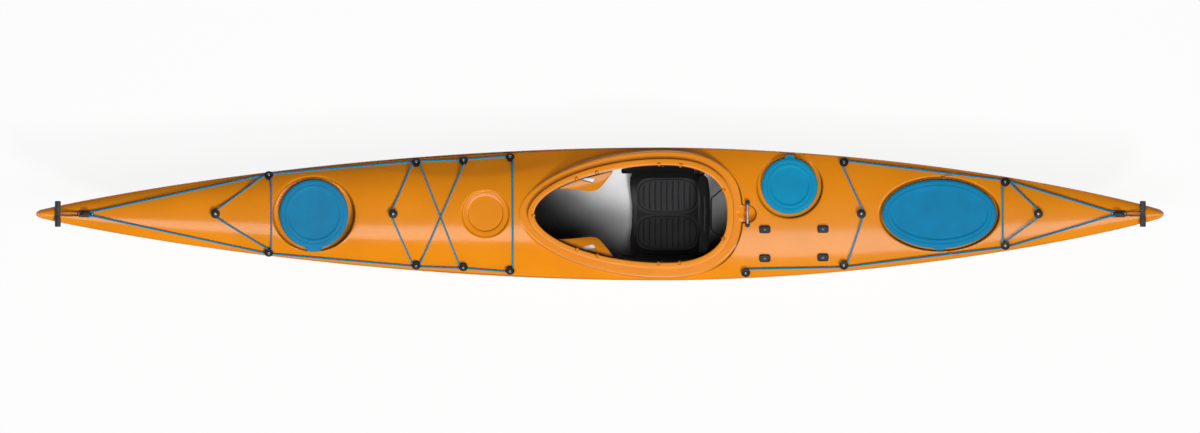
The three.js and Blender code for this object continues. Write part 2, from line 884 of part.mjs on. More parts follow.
function steps(count, low, high) {
  return Array.from({ length: count + 1 }, (_, i) => between(low, high, i / count));
}

const panColumns = steps(6, seatFrontX, seatRearX);
const panRows = steps(12, -seat.width / 2, seat.width / 2);

function seatPan() {
  return sheetBetween(panColumns, panRows, (x, y, top) => {
    return [x, y, panHeight(x, y) - (top ? 0 : seat.wall)];
  });
}

// Height of the pan's faceted upper face.
function panSkin(x, y) {
  const along = fromTable(panColumns.map((column) => [column, panHeight(column, 0)]), x);
  const across = fromTable(panRows.map((row) => [row, panHeight(seatRearX, row)]), y);
  return along + across - panHeight(seatRearX, 0);
}

// Curved plate inside the coaming's wall, over a stretch of stations on one side.
function wallPlate(from, to, side, thickness, low, high) {
  const rings = steps(4, from, to).map((x) => {
    const out = side * cockpitHalfWidth(x, -clearance);
    const inn = out - side * thickness;
    const base = surroundTop(x);
    return [[x, out, base + low], [x, out, base + high], [x, inn, base + high], [x, inn, base + low]];
  });
  return loft(rings);
}

function seatHanger(side) {
  const from = between(seatFrontX, seatRearX, seatShares.hangerStation);
  const to = from + seat.hangerLength;
  const plate = wallPlate(from, to, side, seat.wall, -cockpit.riserFoot, seat.hangerLift);
  const half = seat.width / 2;
  const web = loft(steps(4, from, to).map((x) => {
    const out = side * cockpitHalfWidth(x, -clearance);
    const high = surroundTop(x) - cockpit.riserFoot + seat.wall;
    const low = panHeight(x, half) - seat.wall;
    return [
      [x, out, high],
      [x, side * half, low],
      [x, side * (half - seat.wall), low],
      [x, out - side * seat.wall, high],
    ];
  }));
  return solid(plate).add(solid(web));
}

// Ear and pivot boss that carry one end of the back band.
function seatEar(side) {
  const half = seat.width / 2;
  const low = panHeight(seatRearX, half) - seat.wall;
  const length = bandPivotX + seat.earLength / 2 - seatRearX + seat.earLength;
  const ear = new THREE.BoxGeometry(length, seat.wall, bandPivotZ + seat.earHeight / 2 - low);
  const centreX = bandPivotX + (seat.earLength - length) / 2;
  move(ear, centreX, side * (half - seat.wall / 2), (bandPivotZ + seat.earHeight / 2 + low) / 2);
  const bossLength = half - bandWidth / 2 - clearance;
  const boss = new THREE.CylinderGeometry(seat.bossRadius, seat.bossRadius, bossLength, toggleSides);
  move(boss, bandPivotX, side * (half - bossLength / 2), bandPivotZ);
  return solid(ear).add(solid(boss));
}

function seatShell() {
  let shell = solid(seatPan());
  for (const side of [-1, 1]) shell = shell.add(seatHanger(side)).add(seatEar(side));
  return geometryOf(shell);
}

// Seat pad: two crowned lobes with sewn channels across them, joined by a low ridge.
const padFrontX = seatFrontX + pad.frontGap;

function padRise(u, v) {
  const across = Math.abs(v);
  const ridge = pad.ridgeWidth / padWidth;
  if (across < ridge) return pad.edge;
  const lobe = (2 * (across - ridge)) / (1 - ridge) - 1;
  const crown = (1 - Math.abs(lobe) ** padShares.edgePower) * (1 - Math.abs(u) ** padShares.edgePower);
  const groove = Math.abs(Math.sin((Math.PI * (u + 1) * (padChannels + 1)) / 2)) ** padShares.ridgeDepth;
  const channels = Math.abs(u) < 1 ? pad.channelDepth * (1 - groove) : 0;
  if (crown <= 0) return pad.edge;
  return pad.edge + (pad.thickness - pad.edge) * crown ** padShares.ridgeDepth - channels;
}

function seatPad() {
  const columns = steps(2 * (padChannels + 1), -1, 1);
  const ridge = pad.ridgeWidth / padWidth;
  const side = steps(padRows, ridge, 1);
  const rows = [...side.slice().reverse().map((v) => -v), 0, ...side];
  return sheetBetween(columns, rows, (u, v, top) => {
    const pull = 1 - padShares.cornerPull * (1 - u ** 2) * Math.abs(v) ** padShares.edgePower;
    const x = padFrontX + padLength / 2 + (u * padLength) / 2;
    const y = (v * pull * padWidth) / 2;
    const floor = panSkin(x, y) + clearance;
    return [x, y, top ? floor + padRise(u, v) : floor];
  });
}

// Back band: a crowned pad that leans back and wraps slightly forward at its ends.
const bandPivotX = padFrontX + padLength + band.gapToPad + band.thickness / 2;
const bandPivotZ = band.pivotHeight;

function bandCentreX(side, height) {
  return bandPivotX + (band.lean * height) / band.height - band.wrap * side ** 2;
}

// Half of the band's thickness at a place across it and a share of its height.
function bandHalf(side, share) {
  const power = bandShares.edgePower;
  const crown = (1 - Math.abs(side) ** (2 * power)) * (1 - Math.abs(2 * share - 1) ** power);
  return between(band.edge, band.thickness, Math.max(crown, 0)) / 2;
}

function backBand() {
  const rows = steps(8, 0, 1);
  const rings = steps(12, -1, 1).map((side) => {
    const point = (share, turn) => {
      const height = share * band.height - seat.bossRadius;
      const corner = bandShares.corner * Math.max(2 * share - 1, 0) ** 2 * side ** 4;
      const y = (side * (1 - corner) * bandWidth) / 2;
      return [bandCentreX(side, height) + turn * bandHalf(side, share), y, bandPivotZ + height];
    };
    const back = rows.slice().reverse().map((share) => point(share, 1));
    return [...rows.map((share) => point(share, -1)), ...back];
  });
  return loft(rings);
}

// Cord from the coaming's rear wall to the back of the band, across it, and back to the coaming.
function backBandCord() {
  const endHalf = (cockpit.width * bandShares.cordEnd) / 2;
  const power = cockpitShares.rearPower;
  const radius = band.cordDiameter / 2;
  const wallShare = (1 - bandShares.cordEnd ** power) ** (1 / power);
  const wallX = cockpitX + (rearReach - radius - clearance) * wallShare;
  const wallZ = surroundTop(wallX) - cockpit.riserFoot / 2;
  const height = band.height * bandShares.cordHeight - seat.bossRadius;
  const behind = bandCentreX(0, height) + bandHalf(0, bandShares.cordHeight) + radius + clearance;
  const half = (bandWidth * bandShares.cordHalfWidth) / 2;
  const level = bandPivotZ + height;
  const side = [
    [wallX - clearance, endHalf, wallZ],
    [(behind + wallX) / 2, (half + endHalf) / 2, between(level, wallZ, bandShares.cordSag)],
    [behind + radius, half + radius, level],
    [behind, half - 2 * radius, level],
  ];
  const points = [...side, ...side.slice().reverse().map(([x, y, z]) => [x, -y, z])];
  return cordAlong(points, band.cordDiameter, cordSides);
}

// Thigh brace: a plate that reaches in and down from the coaming, with a slot through it.
function thighBrace(side) {
  const { length, reach, thickness, drop, flange, slotLength, slotWidth, slotInset } = brace;
  const from = cockpitX - frontReach + cockpit.length * braceShares.start;
  const shares = steps(8, 0, 1);
  const plate = loft(shares.map((share) => {
    const x = from + share * length;
    const wide = cockpitHalfWidth(x, -clearance);
    const inward = reach * fromTable(braceReachShares, share);
    const row = steps(3, 0, 1).map((t) => {
      const fall = drop * (t * fromTable(braceReachShares, share)) ** 2;
      return [x, side * (wide - t * inward), surroundTop(x) - thickness - fall];
    });
    const under = row.slice().reverse().map(([px, y, z]) => [px, y, z - thickness]);
    return [...row, ...under];
  }));
  const edge = wallPlate(from, from + length, side, thickness, -2 * thickness, flange - 2 * thickness);
  const slotX = from + length * braceShares.slotCentre;
  const slotY = side * (cockpitHalfWidth(slotX, 0) - slotInset - slotWidth / 2);
  const slot = new THREE.BoxGeometry(slotLength, slotWidth, overrun);
  const cut = solid(move(slot, slotX, slotY, surroundTop(slotX)));
  return geometryOf(solid(plate).add(solid(edge)).subtract(cut));
}

// Foot rest rail: a straight bar beside the hull, with bosses out to the hull and a row of notches.
const railX = stationAt(railShares.station);

function railY() {
  const ends = [railX - rail.length / 2, railX + rail.length / 2];
  return Math.min(...ends.map((x) => halfBreadth(x))) - rail.wallGap - rail.thickness;
}

function footRail(side) {
  const y = side * railY();
  const body = new THREE.BoxGeometry(rail.length, rail.thickness, rail.height);
  let shape = solid(move(body, railX, y, rail.centreHeight));
  for (const end of [-1, 1]) {
    const boss = new THREE.CylinderGeometry(rail.bossRadius, rail.bossRadius, overrun, toggleSides);
    const x = railX + end * (rail.length / 2 - rail.bossRadius);
    shape = shape.add(solid(move(boss, x, y + (side * overrun) / 2, rail.centreHeight)));
  }
  const { notch: notchLength, notches, notchPitch } = rail;
  for (let i = 0; i < notches; i += 1) {
    const notch = new THREE.BoxGeometry(notchLength, 2 * rail.thickness, 2 * rail.notchDepth);
    const x = railX + (i - (notches - 1) / 2) * notchPitch;
    shape = shape.subtract(solid(move(notch, x, y, rail.centreHeight - rail.height / 2)));
  }
  return geometryOf(shape.intersect(hold()));
}

// Foot pedal: a hook round the rail's inner face, and a leaning plate that the foot pushes.
function footPedal(side) {
  const { height, width, thickness, hookWall, hookLength, lean, rib } = pedal;
  const inner = railY() - rail.thickness / 2 - clearance;
  const low = rail.centreHeight - rail.height / 2 - clearance;
  const high = rail.centreHeight + rail.height / 2 + clearance;
  const lip = rail.thickness - clearance;
  const hook = new THREE.Shape([
    [inner, low - hookWall],
    [inner + lip, low - hookWall],
    [inner + lip, low],
    [inner, low],
    [inner, high],
    [inner + lip, high],
    [inner + lip, high + hookWall],
    [inner - hookWall, high + hookWall],
    [inner - hookWall, low - hookWall],
  ].map(([y, z]) => new THREE.Vector2(y, z)));
  const slide = new THREE.ExtrudeGeometry(hook, { depth: hookLength, bevelEnabled: false });
  slide.applyMatrix4(alongX).translate(railX - hookLength / 2, 0, 0);
  const plate = loft(steps(4, -1, 1).map((v) => {
    const z = rail.centreHeight + (v * height) / 2;
    const x = railX - lean * v + lean * v ** 2 / 2;
    const outY = inner - hookWall + rib;
    const inY = inner - hookWall - width * (1 - v ** 2 / 4);
    return [[x, outY, z], [x + thickness, outY, z], [x + thickness, inY, z], [x, inY, z]];
  }));
  const arm = new THREE.BoxGeometry(hookLength / 2, rib, height / 2);
  move(arm, railX - hookLength / 4 + thickness, inner - hookWall - rib / 2 + clearance, rail.centreHeight);
  const shape = geometryOf(solid(slide).add(solid(plate)).add(solid(arm)));
  return side > 0 ? shape : mirroredGeometry(shape);
}

// Turns a profile drawn in Y and Z, and extruded, to lie along X.
const alongX = new THREE.Matrix4().set(0, 0, 1, 0, 1, 0, 0, 0, 0, 1, 0, 0, 0, 0, 0, 1);

function mirroredGeometry(geometry) {
  const points = geometry.attributes.position;
  const flipped = Array.from({ length: points.count }, (_, i) => {
    return [points.getX(i), -points.getY(i), points.getZ(i)];
  });
  const index = Array.from(geometry.index.array);
  const faces = Array.from({ length: index.length / 3 }, (_, i) => index.slice(3 * i, 3 * i + 3));
  return closedGeometry(flipped, faces);
}

// Height of the faceted deck, and a frame that stands on it with Z along its normal.
const deckRows = stations(0).map((x) => deckRing(x, 0, clearance / 2));

function planeHeight([p, q, r], x, y) {
  const corners = [p, q, r].map((point) => new THREE.Vector3(...point));
  const normal = corners[1].clone().sub(corners[0]).cross(corners[2].clone().sub(corners[0]));
  return p[2] - (normal.x * (x - p[0]) + normal.y * (y - p[1])) / normal.z;
}

function deckSkin(x, y) {
  const next = Math.min(Math.max(deckRows.findIndex((row) => row[0][0] > x), 1), deckRows.length - 1);
  const [low, high] = [deckRows[next - 1], deckRows[next]];
  const share = (x - low[0][0]) / (high[0][0] - low[0][0]);
  const last = low.length - 2;
  const under = low.findIndex((_, j) => j > 0 && between(low[j][1], high[j][1], share) <= y) - 1;
  const strip = under < 0 ? last : Math.min(under, last);
  const [a, b, c, d] = [low[strip], high[strip], high[strip + 1], low[strip + 1]];
  const beyond = (c[0] - a[0]) * (y - a[1]) > (c[1] - a[1]) * (x - a[0]);
  return planeHeight(beyond ? [a, b, c] : [a, c, d], x, y);
}

function deckFrame(x, y, reach) {
  const slopeX = (deckSkin(x + reach, y) - deckSkin(x - reach, y)) / (2 * reach);
  const slopeY = (deckSkin(x, y + reach) - deckSkin(x, y - reach)) / (2 * reach);
  const forward = new THREE.Vector3(1, 0, slopeX).normalize();
  const up = new THREE.Vector3(-slopeX, -slopeY, 1).normalize();
  const side = up.clone().cross(forward);
  let level = deckSkin(x, y);
  for (let i = 0; i < toggleSides; i += 1) {
    const turn = (2 * Math.PI * i) / toggleSides;
    const [dx, dy] = [Math.cos(turn) * reach, Math.sin(turn) * reach];
    level = Math.max(level, deckSkin(x + dx, y + dy) - slopeX * dx - slopeY * dy);
  }
  return new THREE.Matrix4().makeBasis(forward, side, up).setPosition(x, y, level + clearance);
}

// Round fitting: a cord runs under its cap, round the stem, with room for a second one above.
const lowLevel = fitting.baseThickness + clearance + line.diameter / 2;
const highLevel = lowLevel + line.diameter / 2 + clearance + bungee.diameter / 2;
const capHeight = highLevel + bungee.diameter / 2 + clearance;

// Place of each fitting: how far along the hull, and its share of the half-breadth.
const rearEyesX = dayHatchRear + spacing.dayHatchToRearEyes;
const fittingSpots = {};
for (const [name, [station, across]] of Object.entries(fittingShares)) {
  fittingSpots[name] = [stationAt(station), across];
}
for (const [name, across] of Object.entries(afterdeckFittingShares)) {
  fittingSpots[name] = [rearEyesX + spacing.rearEyesToFittings, across];
}

const fittingFrames = Object.fromEntries(Object.entries(fittingSpots).map(([name, [x, across]]) => {
  return [name, deckFrame(x, across * halfBreadth(x), fitting.baseRadius)];
}));

function deckFitting(name) {
  const { baseRadius, baseThickness, stemRadius, capRadius, capEdge, capCrown } = fitting;
  const crown = capHeight + capEdge + capCrown;
  const profile = [
    [0, 0],
    [baseRadius, 0],
    [stemRadius, baseThickness],
    [stemRadius, capHeight],
    [capRadius, capHeight],
    [capRadius, capHeight + capEdge],
    [capRadius / 2, crown],
    [0, crown],
  ];
  return place(turned(profile, fittingSides), fittingFrames[name]);
}

// Stretch of a cord round one fitting's stem, from one neighbour towards the other.
function roundFitting(name, before, after, level, diameter) {
  const frame = fittingFrames[name];
  const local = frame.clone().invert();
  const from = new THREE.Vector3(...before).applyMatrix4(local);
  const to = new THREE.Vector3(...after).applyMatrix4(local);
  const heading = Math.atan2(-from.y, -from.x);
  const leaving = Math.atan2(to.y, to.x);
  let turn = leaving - heading;
  if (turn > Math.PI) turn -= 2 * Math.PI;
  if (turn < -Math.PI) turn += 2 * Math.PI;
  const outboard = Math.sign(fittingSpots[name][1]) * Math.sin(heading - Math.PI / 2);
  if (before === after) turn = outboard < 0 ? -Math.PI : Math.PI;
  const side = turn >= 0 ? -1 : 1;
  const count = Math.max(1, Math.ceil(Math.abs(turn) / (Math.PI / 4)));
  const tight = fitting.stemRadius + clearance + diameter / 2;
  const radius = tight / Math.cos(turn / count / 2);
  const run = Math.sqrt((fitting.capRadius + clearance) ** 2 - tight ** 2);
  const arc = steps(count, 0, 1).map((share) => {
    const angle = heading + turn * share + (side * Math.PI) / 2;
    return [Math.cos(angle) * radius, Math.sin(angle) * radius, level];
  });
  const tail = ([x, y], angle, length) => {
    return [x + Math.cos(angle) * length, y + Math.sin(angle) * length, level];
  };
  const points = [tail(arc[0], heading, -run), ...arc, tail(arc[count], leaving, run)];
  return points.map((point) => new THREE.Vector3(...point).applyMatrix4(frame).toArray());
}

// How far a cord's route stays over the deck, so that it can run straight past a slight bend.
const cordLift = 2 * clearance;

// Height of a cord's middle where it lies on the deck, which may slope across it.
function cordRest(x, y, diameter) {
  const slopes = [[diameter, 0], [0, diameter]].map(([dx, dy]) => {
    return (deckSkin(x + dx, y + dy) - deckSkin(x - dx, y - dy)) / (2 * diameter);
  });
  const steep = Math.hypot(1, ...slopes);
  return deckSkin(x, y) + (diameter / 2 + clearance) * steep + cordLift;
}

// Points that a taut cord touches on the deck between two of its points.
function overDeck(from, to, diameter) {
  const low = steps(routeSteps, 0, 1).slice(1, -1).map((share) => {
    const [x, y] = [between(from[0], to[0], share), between(from[1], to[1], share)];
    return [x, y, cordRest(x, y, diameter), share];
  });
  const above = (a, b, c) => b[2] - between(a[2], c[2], (b[3] - a[3]) / (c[3] - a[3]));
  const chain = [];
  for (const point of [[...from, 0], ...low, [...to, 1]]) {
    while (chain.length > 1 && above(chain.at(-2), chain.at(-1), point) <= 0) chain.pop();
    chain.push(point);
  }
  for (let i = 1; i < chain.length - 1;) {
    if (above(chain[i - 1], chain[i], chain[i + 1]) < cordLift) chain.splice(i, 1);
    else i += 1;
  }
  return chain.slice(1, -1).map((point) => point.slice(0, 3));
}

function spotOf(stop) {
  if (typeof stop !== 'string') return stop;
  return new THREE.Vector3().setFromMatrixPosition(fittingFrames[stop]).toArray();
}

// Route over a list of fittings and points. An end at a fitting turns round behind its stem.
function routeOver(stops, level, diameter) {
  const pieces = stops.map((stop, i) => {
    if (typeof stop !== 'string') return [stop];
    const before = spotOf(stops[i - 1] ?? stops[i + 1]);
    const after = spotOf(stops[i + 1] ?? stops[i - 1]);
    const atEnd = i === 0 || i === stops.length - 1;
    const run = roundFitting(stop, before, atEnd ? before : after, level, diameter);
    if (i === 0) return run.slice(2);
    return i === stops.length - 1 ? run.slice(0, -2) : run;
  });
  const points = [...pieces[0]];
  for (const run of pieces.slice(1)) {
    points.push(...overDeck(points.at(-1), run[0], diameter), ...run);
  }
  return points;
}

// Pad eyes. Local X points from the eye towards the boat's end.
function endFrame(station, reach) {
  const x = stationAt(station);
  const frame = deckFrame(x, 0, reach);
  return x < 0 ? frame.multiply(new THREE.Matrix4().makeRotationZ(Math.PI)) : frame;
}

const padEyeFrames = {
  bow: endFrame(padEyeShares.bow, padEye.length / 2),
  stern: endFrame(padEyeShares.stern, padEye.length / 2),
};

function padEyePiece(end) {
  const { length, width, thickness, archSpan, archHeight, rod } = padEye;
  const { boltSpan, boltRadius, boltHeight } = padEye;
  const straight = (length - width) / 2;
  const outline = [];
  for (const [side, start] of [[1, -Math.PI / 2], [-1, Math.PI / 2]]) {
    for (const share of steps(4, 0, 1)) {
      const turn = start + Math.PI * share;
      outline.push([side * straight + (Math.cos(turn) * width) / 2, (Math.sin(turn) * width) / 2]);
    }
  }
  const arch = steps(5, 0, Math.PI).map((turn) => {
    const rise = (archHeight - rod / 2 - thickness / 2) * Math.sin(turn) ** padEyeShares.archPower;
    return [(Math.cos(turn) * archSpan) / 2, 0, thickness / 2 + rise];
  });
  let shape = solid(prism(outline, 0, thickness)).add(solid(cordAlong(arch, rod, cordSides)));
  for (const side of [-1, 1]) {
    const bolt = button(boltRadius, 0, thickness + boltHeight);
    shape = shape.add(solid(move(bolt, (side * boltSpan) / 2, 0, 0)));
  }
  return place(geometryOf(shape), padEyeFrames[end]);
}

// Carrying toggle across the deck, and the cord that joins it to its pad eye.
const eyeRoom = padEye.thickness + clearance;
const toggleReach = {
  bow: Math.abs(stationAt(toggleShares.bow) - stationAt(padEyeShares.bow)),
  stern: Math.abs(stationAt(toggleShares.stern) - stationAt(padEyeShares.stern)),
};

function toggleCentre(end) {
  const spot = new THREE.Vector3(toggleReach[end], 0, 0).applyMatrix4(padEyeFrames[end]);
  spot.z = deckSkin(spot.x, 0) + toggle.waist / 2 + clearance;
  return spot.applyMatrix4(padEyeFrames[end].clone().invert());
}

function togglePiece(end) {
  const half = toggle.length / 2;
  const [thick, thin] = [toggle.diameter / 2, toggle.waist / 2];
  const profile = [
    [0, -half],
    [thick * toggleShares.end, -half],
    [thick, -half + thick / 2],
    [thin, -thin],
    [thin, thin],
    [thick, half - thick / 2],
    [thick * toggleShares.end, half],
    [0, half],
  ];
  const bar = turned(profile, toggleSides).rotateX(Math.PI / 2);
  const centre = toggleCentre(end);
  return place(move(bar, centre.x, centre.y, centre.z), padEyeFrames[end]);
}

function toggleCord(end) {
  const { cordDiameter, cordSpread, waist } = toggle;
  const centre = toggleCentre(end);
  const level = eyeRoom + cordDiameter / 2;
  const back = cordDiameter + clearance;
  const half = cordSpread / 2 + cordDiameter / 2;
  const stop = centre.x - waist / 2 - 2 * clearance;
  const side = [
    [stop, half, centre.z],
    [padEye.length / 2, half, level + clearance],
    [back + cordDiameter, half, level],
    [back + cordDiameter / 4, half - cordDiameter / 4, level],
    [back, half - cordDiameter, level],
  ];
  const points = [...side, ...side.slice().reverse().map(([x, y, z]) => [x, -y, z])];
  return place(cordAlong(points, cordDiameter, cordSides), padEyeFrames[end]);
}

// The points where a deck line passes under a pad eye's arch, from its middle to one side.
function underEye(end, side) {
  const level = eyeRoom + line.diameter / 2;
  const back = -(line.diameter / 2 + clearance);
  const out = padEye.rod / 2 + line.diameter / 2 + 2 * clearance;
  const spots = [
    [back, clearance, level],
    [back, out - line.diameter / 2, level],
    [back - line.diameter / 3, out, level],
    [back - line.diameter, out + clearance, level],
    [-padEye.length / 2 - line.diameter, out + line.diameter / 2, level],
  ];
  const flip = end === 'bow' ? -side : side;
  return spots.map(([x, y, z]) => {
    return new THREE.Vector3(x, flip * y, z).applyMatrix4(padEyeFrames[end]).toArray();
  });
}

function pairOf(name) {
  return [`${name}_starboard`, `${name}_port`];
}

function lineOver(stops) {
  return cordAlong(routeOver(stops, lowLevel, line.diameter), line.diameter, cordSides);
}

function bungeeOver(stops) {
  return cordAlong(routeOver(stops, highLevel, bungee.diameter), bungee.diameter, cordSides);
}

// Deck lines run low round the stems, and the bungees over them.
function deckLines() {
  const [bowS, bowP] = pairOf('bow_fitting');
  const [frontS, frontP] = pairOf('foredeck_front_fitting');
  const [middleS, middleP] = pairOf('foredeck_middle_fitting');
  const [rearS, rearP] = pairOf('foredeck_rear_fitting');
  const [aftS, aftP] = pairOf('afterdeck_fitting');
  const [sternS, sternP] = pairOf('stern_fitting');
  const bowRound = [bowS, frontS, middleS, rearS, rearP, middleP, frontP, bowP];
  return {
    bow_deckline: lineOver([...underEye('bow', 1), ...bowRound, ...underEye('bow', -1).reverse()]),
    stern_deckline_port: lineOver([
      'quarter_fitting_port',
      aftP,
      sternP,
      ...underEye('stern', -1).reverse(),
    ]),
    stern_deckline_starboard: lineOver([...underEye('stern', 1), sternS, aftS]),
    bow_triangle_bungee: bungeeOver([bowP, 'bow_ridge_fitting', bowS]),
    bow_cross_bungee: bungeeOver([middleS, frontP, 'foredeck_ridge_fitting', frontS, crossHump(), middleP]),
    afterdeck_bungee: bungeeOver([aftS, 'afterdeck_ridge_fitting', aftP]),
    stern_triangle_bungee: bungeeOver([sternP, 'stern_ridge_fitting', sternS]),
  };
}

// Point where the crossed bungee's second diagonal passes over the first.
function crossHump() {
  const middle = spotOf('foredeck_middle_fitting_starboard');
  const front = spotOf('foredeck_front_fitting_starboard');
  const x = between(middle[0], front[0], middle[1] / (middle[1] + front[1]));
  return [x, 0, cordRest(x, 0, bungee.diameter) + bungee.diameter + clearance];
}

// Security bar: a bent steel rod that spans its dish, with a foot at each end.
function securityBar() {
  const { length, diameter, height, bend, footRadius, footHeight } = bar;
  const frame = deckFrame(grabX, 0, length / 2);
  const top = height - diameter / 2;
  const side = [
    [0, length / 2, footHeight / 2],
    [0, length / 2, top - bend / 2],
    [0, length / 2 - bend / 4, top - bend / 8],
    [0, length / 2 - bend, top],
  ];
  const points = [...side, ...side.slice().reverse().map(([px, y, z]) => [px, -y, z])];
  let shape = solid(cordAlong(points, diameter, cordSides));
  for (const end of [-1, 1]) {
    shape = shape.add(solid(move(button(footRadius, 0, footHeight), 0, (end * length) / 2, 0)));
  }
  return place(geometryOf(shape), frame);
}

// Strap eye: a rounded block with a strap slot on each side of its screw.
function strapEyePiece(name) {
  const { length, width, height, corner, bevel, boltRadius, boltHeight } = strapEye;
  const { slotLength, slotHeight, slotFloor } = strapEye;
  const outline = [];
  for (const [i, [sx, sy]] of [[1, 1], [-1, 1], [-1, -1], [1, -1]].entries()) {
    for (const share of [0, 1 / 2, 1]) {
      const turn = ((i + share) * Math.PI) / 2;
      const centre = [sx * (length / 2 - corner), sy * (width / 2 - corner)];
      outline.push([centre[0] + Math.cos(turn) * corner, centre[1] + Math.sin(turn) * corner]);
    }
  }
  const foot = outline.map(([x, y]) => [x, y, 0]);
  const belt = outline.map(([x, y]) => [x, y, height - bevel]);
  const narrower = [1 - (2 * bevel) / length, 1 - (2 * bevel) / width];
  const head = outline.map(([x, y]) => [x * narrower[0], y * narrower[1], height]);
  const bolt = button(boltRadius, height / 2, height + boltHeight);
  let shape = solid(loft([foot, belt, head])).add(solid(bolt));
  for (const side of [-1, 1]) {
    const slot = new THREE.BoxGeometry(slotLength, overrun, slotHeight);
    move(slot, side * (boltRadius + slotLength / 2), 0, slotFloor + slotHeight / 2);
    shape = shape.subtract(solid(slot));
  }
  const x = name.includes('front') ? grabX + spacing.barToFrontEyes : rearEyesX;
  return place(geometryOf(shape), deckFrame(x, strapEyeShares[name] * halfBreadth(x), length / 2));
}

// The model: each piece is a named mesh with its own finish.
const group = new THREE.Group();

function piece(name, geometry, finish) {
  const mesh = new THREE.Mesh(geometry, new THREE.MeshStandardMaterial(finishes[finish]));
  mesh.name = name;
  group.add(mesh);
}

piece('hull_shell', hullShell(), 'gelcoat');
piece('deck_shell', deckShell(), 'gelcoat');
piece('seam_band', seamBand(), 'seamTape');
piece('cockpit_coaming', cockpitCoaming(), 'gelcoat');
for (const [name, x] of Object.entries(bulkheadPlaces)) {
  piece(`${name}_bulkhead`, bulkheadPanel(x), 'laminate');
}
for (const name of hatchNames) {
  piece(`${name}_hatch_rim`, hatchRim(name), 'plastic');
  piece(`${name}_hatch_lid`, hatchLid(name), `${name}Lid`);
}
piece('seat_shell', seatShell(), 'plastic');
piece('seat_pad', seatPad(), 'fabric');
piece('backband', backBand(), 'fabric');
piece('backband_cord', backBandCord(), 'blackCord');
for (const [name, side] of [['port', -1], ['starboard', 1]]) {
  piece(`thigh_brace_${name}`, thighBrace(side), 'gelcoat');
  piece(`foot_rail_${name}`, footRail(side), 'rail');
  piece(`foot_pedal_${name}`, footPedal(side), 'plastic');
}
for (const name of Object.keys(fittingSpots)) piece(name, deckFitting(name), 'plastic');
for (const [name, geometry] of Object.entries(deckLines())) piece(name, geometry, 'lineCord');
for (const end of ['bow', 'stern']) {
  piece(`${end}_pad_eye`, padEyePiece(end), 'plastic');
  piece(`${end}_toggle`, togglePiece(end), 'plastic');
  piece(`${end}_toggle_cord`, toggleCord(end), 'blackCord');
}
piece('security_bar', securityBar(), 'steel');
for (const name of Object.keys(strapEyeShares)) piece(name, strapEyePiece(name), 'plastic');

export default group;
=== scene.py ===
"""Looks of a sea kayak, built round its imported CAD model. Metres; the bow points along -X and starboard is +Y."""
import math

import bmesh
import bpy
import numpy as np
from mathutils import Matrix, Vector, geometry, kdtree
from mathutils.bvhtree import BVHTree


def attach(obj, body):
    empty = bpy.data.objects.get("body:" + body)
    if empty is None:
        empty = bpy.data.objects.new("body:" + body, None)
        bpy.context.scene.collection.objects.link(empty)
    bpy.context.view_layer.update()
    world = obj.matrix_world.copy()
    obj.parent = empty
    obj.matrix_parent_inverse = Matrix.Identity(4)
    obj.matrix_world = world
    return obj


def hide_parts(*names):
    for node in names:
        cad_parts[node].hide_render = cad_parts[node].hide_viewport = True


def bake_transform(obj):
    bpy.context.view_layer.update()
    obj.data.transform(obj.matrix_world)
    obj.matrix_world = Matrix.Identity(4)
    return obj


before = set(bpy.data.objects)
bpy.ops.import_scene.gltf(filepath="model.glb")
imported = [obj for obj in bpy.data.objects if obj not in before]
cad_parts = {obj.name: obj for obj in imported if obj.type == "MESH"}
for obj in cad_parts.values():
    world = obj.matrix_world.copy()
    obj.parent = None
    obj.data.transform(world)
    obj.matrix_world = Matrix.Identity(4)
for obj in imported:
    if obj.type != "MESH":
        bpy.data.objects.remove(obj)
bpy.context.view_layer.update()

# Hull form, as in the CAD source.
LENGTH, BEAM, WALL = 5.0, 0.586, 0.004
BOW, STERN = -LENGTH / 2, LENGTH / 2
WIDEST = BOW + 0.5532 * LENGTH
SHEER, BOW_SHEER, STERN_SHEER = 0.205, 0.190, 0.165
BOW_KEEL, STERN_KEEL = 0.325, 0.295
TIP_HALF, TIP_ROUNDING, TIP_SHARE = 0.012, 0.020, 0.3
FORE_CROWN = (BOW + 0.4272 * LENGTH, 0.105)
AFT_CROWN = (BOW + 0.6262 * LENGTH, 0.044)
CROWN_TABLE = ((BOW, 0.012), FORE_CROWN, AFT_CROWN, (STERN, 0.014))
CROWN_BLEND, CROWN_POWER = 0.160, 2.7
EDGE_FACET, CUTAWAY_START, CUTAWAY_END, CUTAWAY_EXTRA = 0.12, 0.3, 0.474, 0.25

# Cockpit outline and its inclined surround.
COCKPIT_X = BOW + 0.5546 * LENGTH
COCKPIT_LENGTH, COCKPIT_WIDTH = 0.856, 0.432
FRONT_REACH = 0.66 * COCKPIT_LENGTH
REAR_REACH = COCKPIT_LENGTH - FRONT_REACH
FRONT_TOP, REAR_TOP = 0.306, 0.249
# Sharpness of the opening's outline: 2 is an ellipse.
FRONT_POWER, REAR_POWER = 1.85, 2.5

GAP = 0.0003  # left between pieces that touch
TINY = 1e-5  # radius of a point that closes a turned piece
CORD_STEP = 0.002
RING_POINTS = 112  # in the outlines of hatches and lids
PIXEL = 0.004437  # size of one pixel of the picture
PICTURE_WIDTH, PICTURE_X, PICTURE_Y = 1200, 600, 213.9


def at(station):
    """Place along the boat of a station, a share of its length from the bow."""
    return BOW + station * LENGTH


def mix(low, high, share):
    return low + (high - low) * share


def mm(*rows):
    """Rows of measures given in millimetres, in metres."""
    return [tuple(round(value / 1000, 7) for value in row) for row in rows]


def turns_of(count):
    """Angles of one full turn in equal steps."""
    return np.arange(count) * 2 * math.pi / count


def bent(wave, power):
    """Sine or cosine with its size raised to a power, which squares or sharpens an outline's corners."""
    return np.sign(wave) * np.abs(wave) ** power


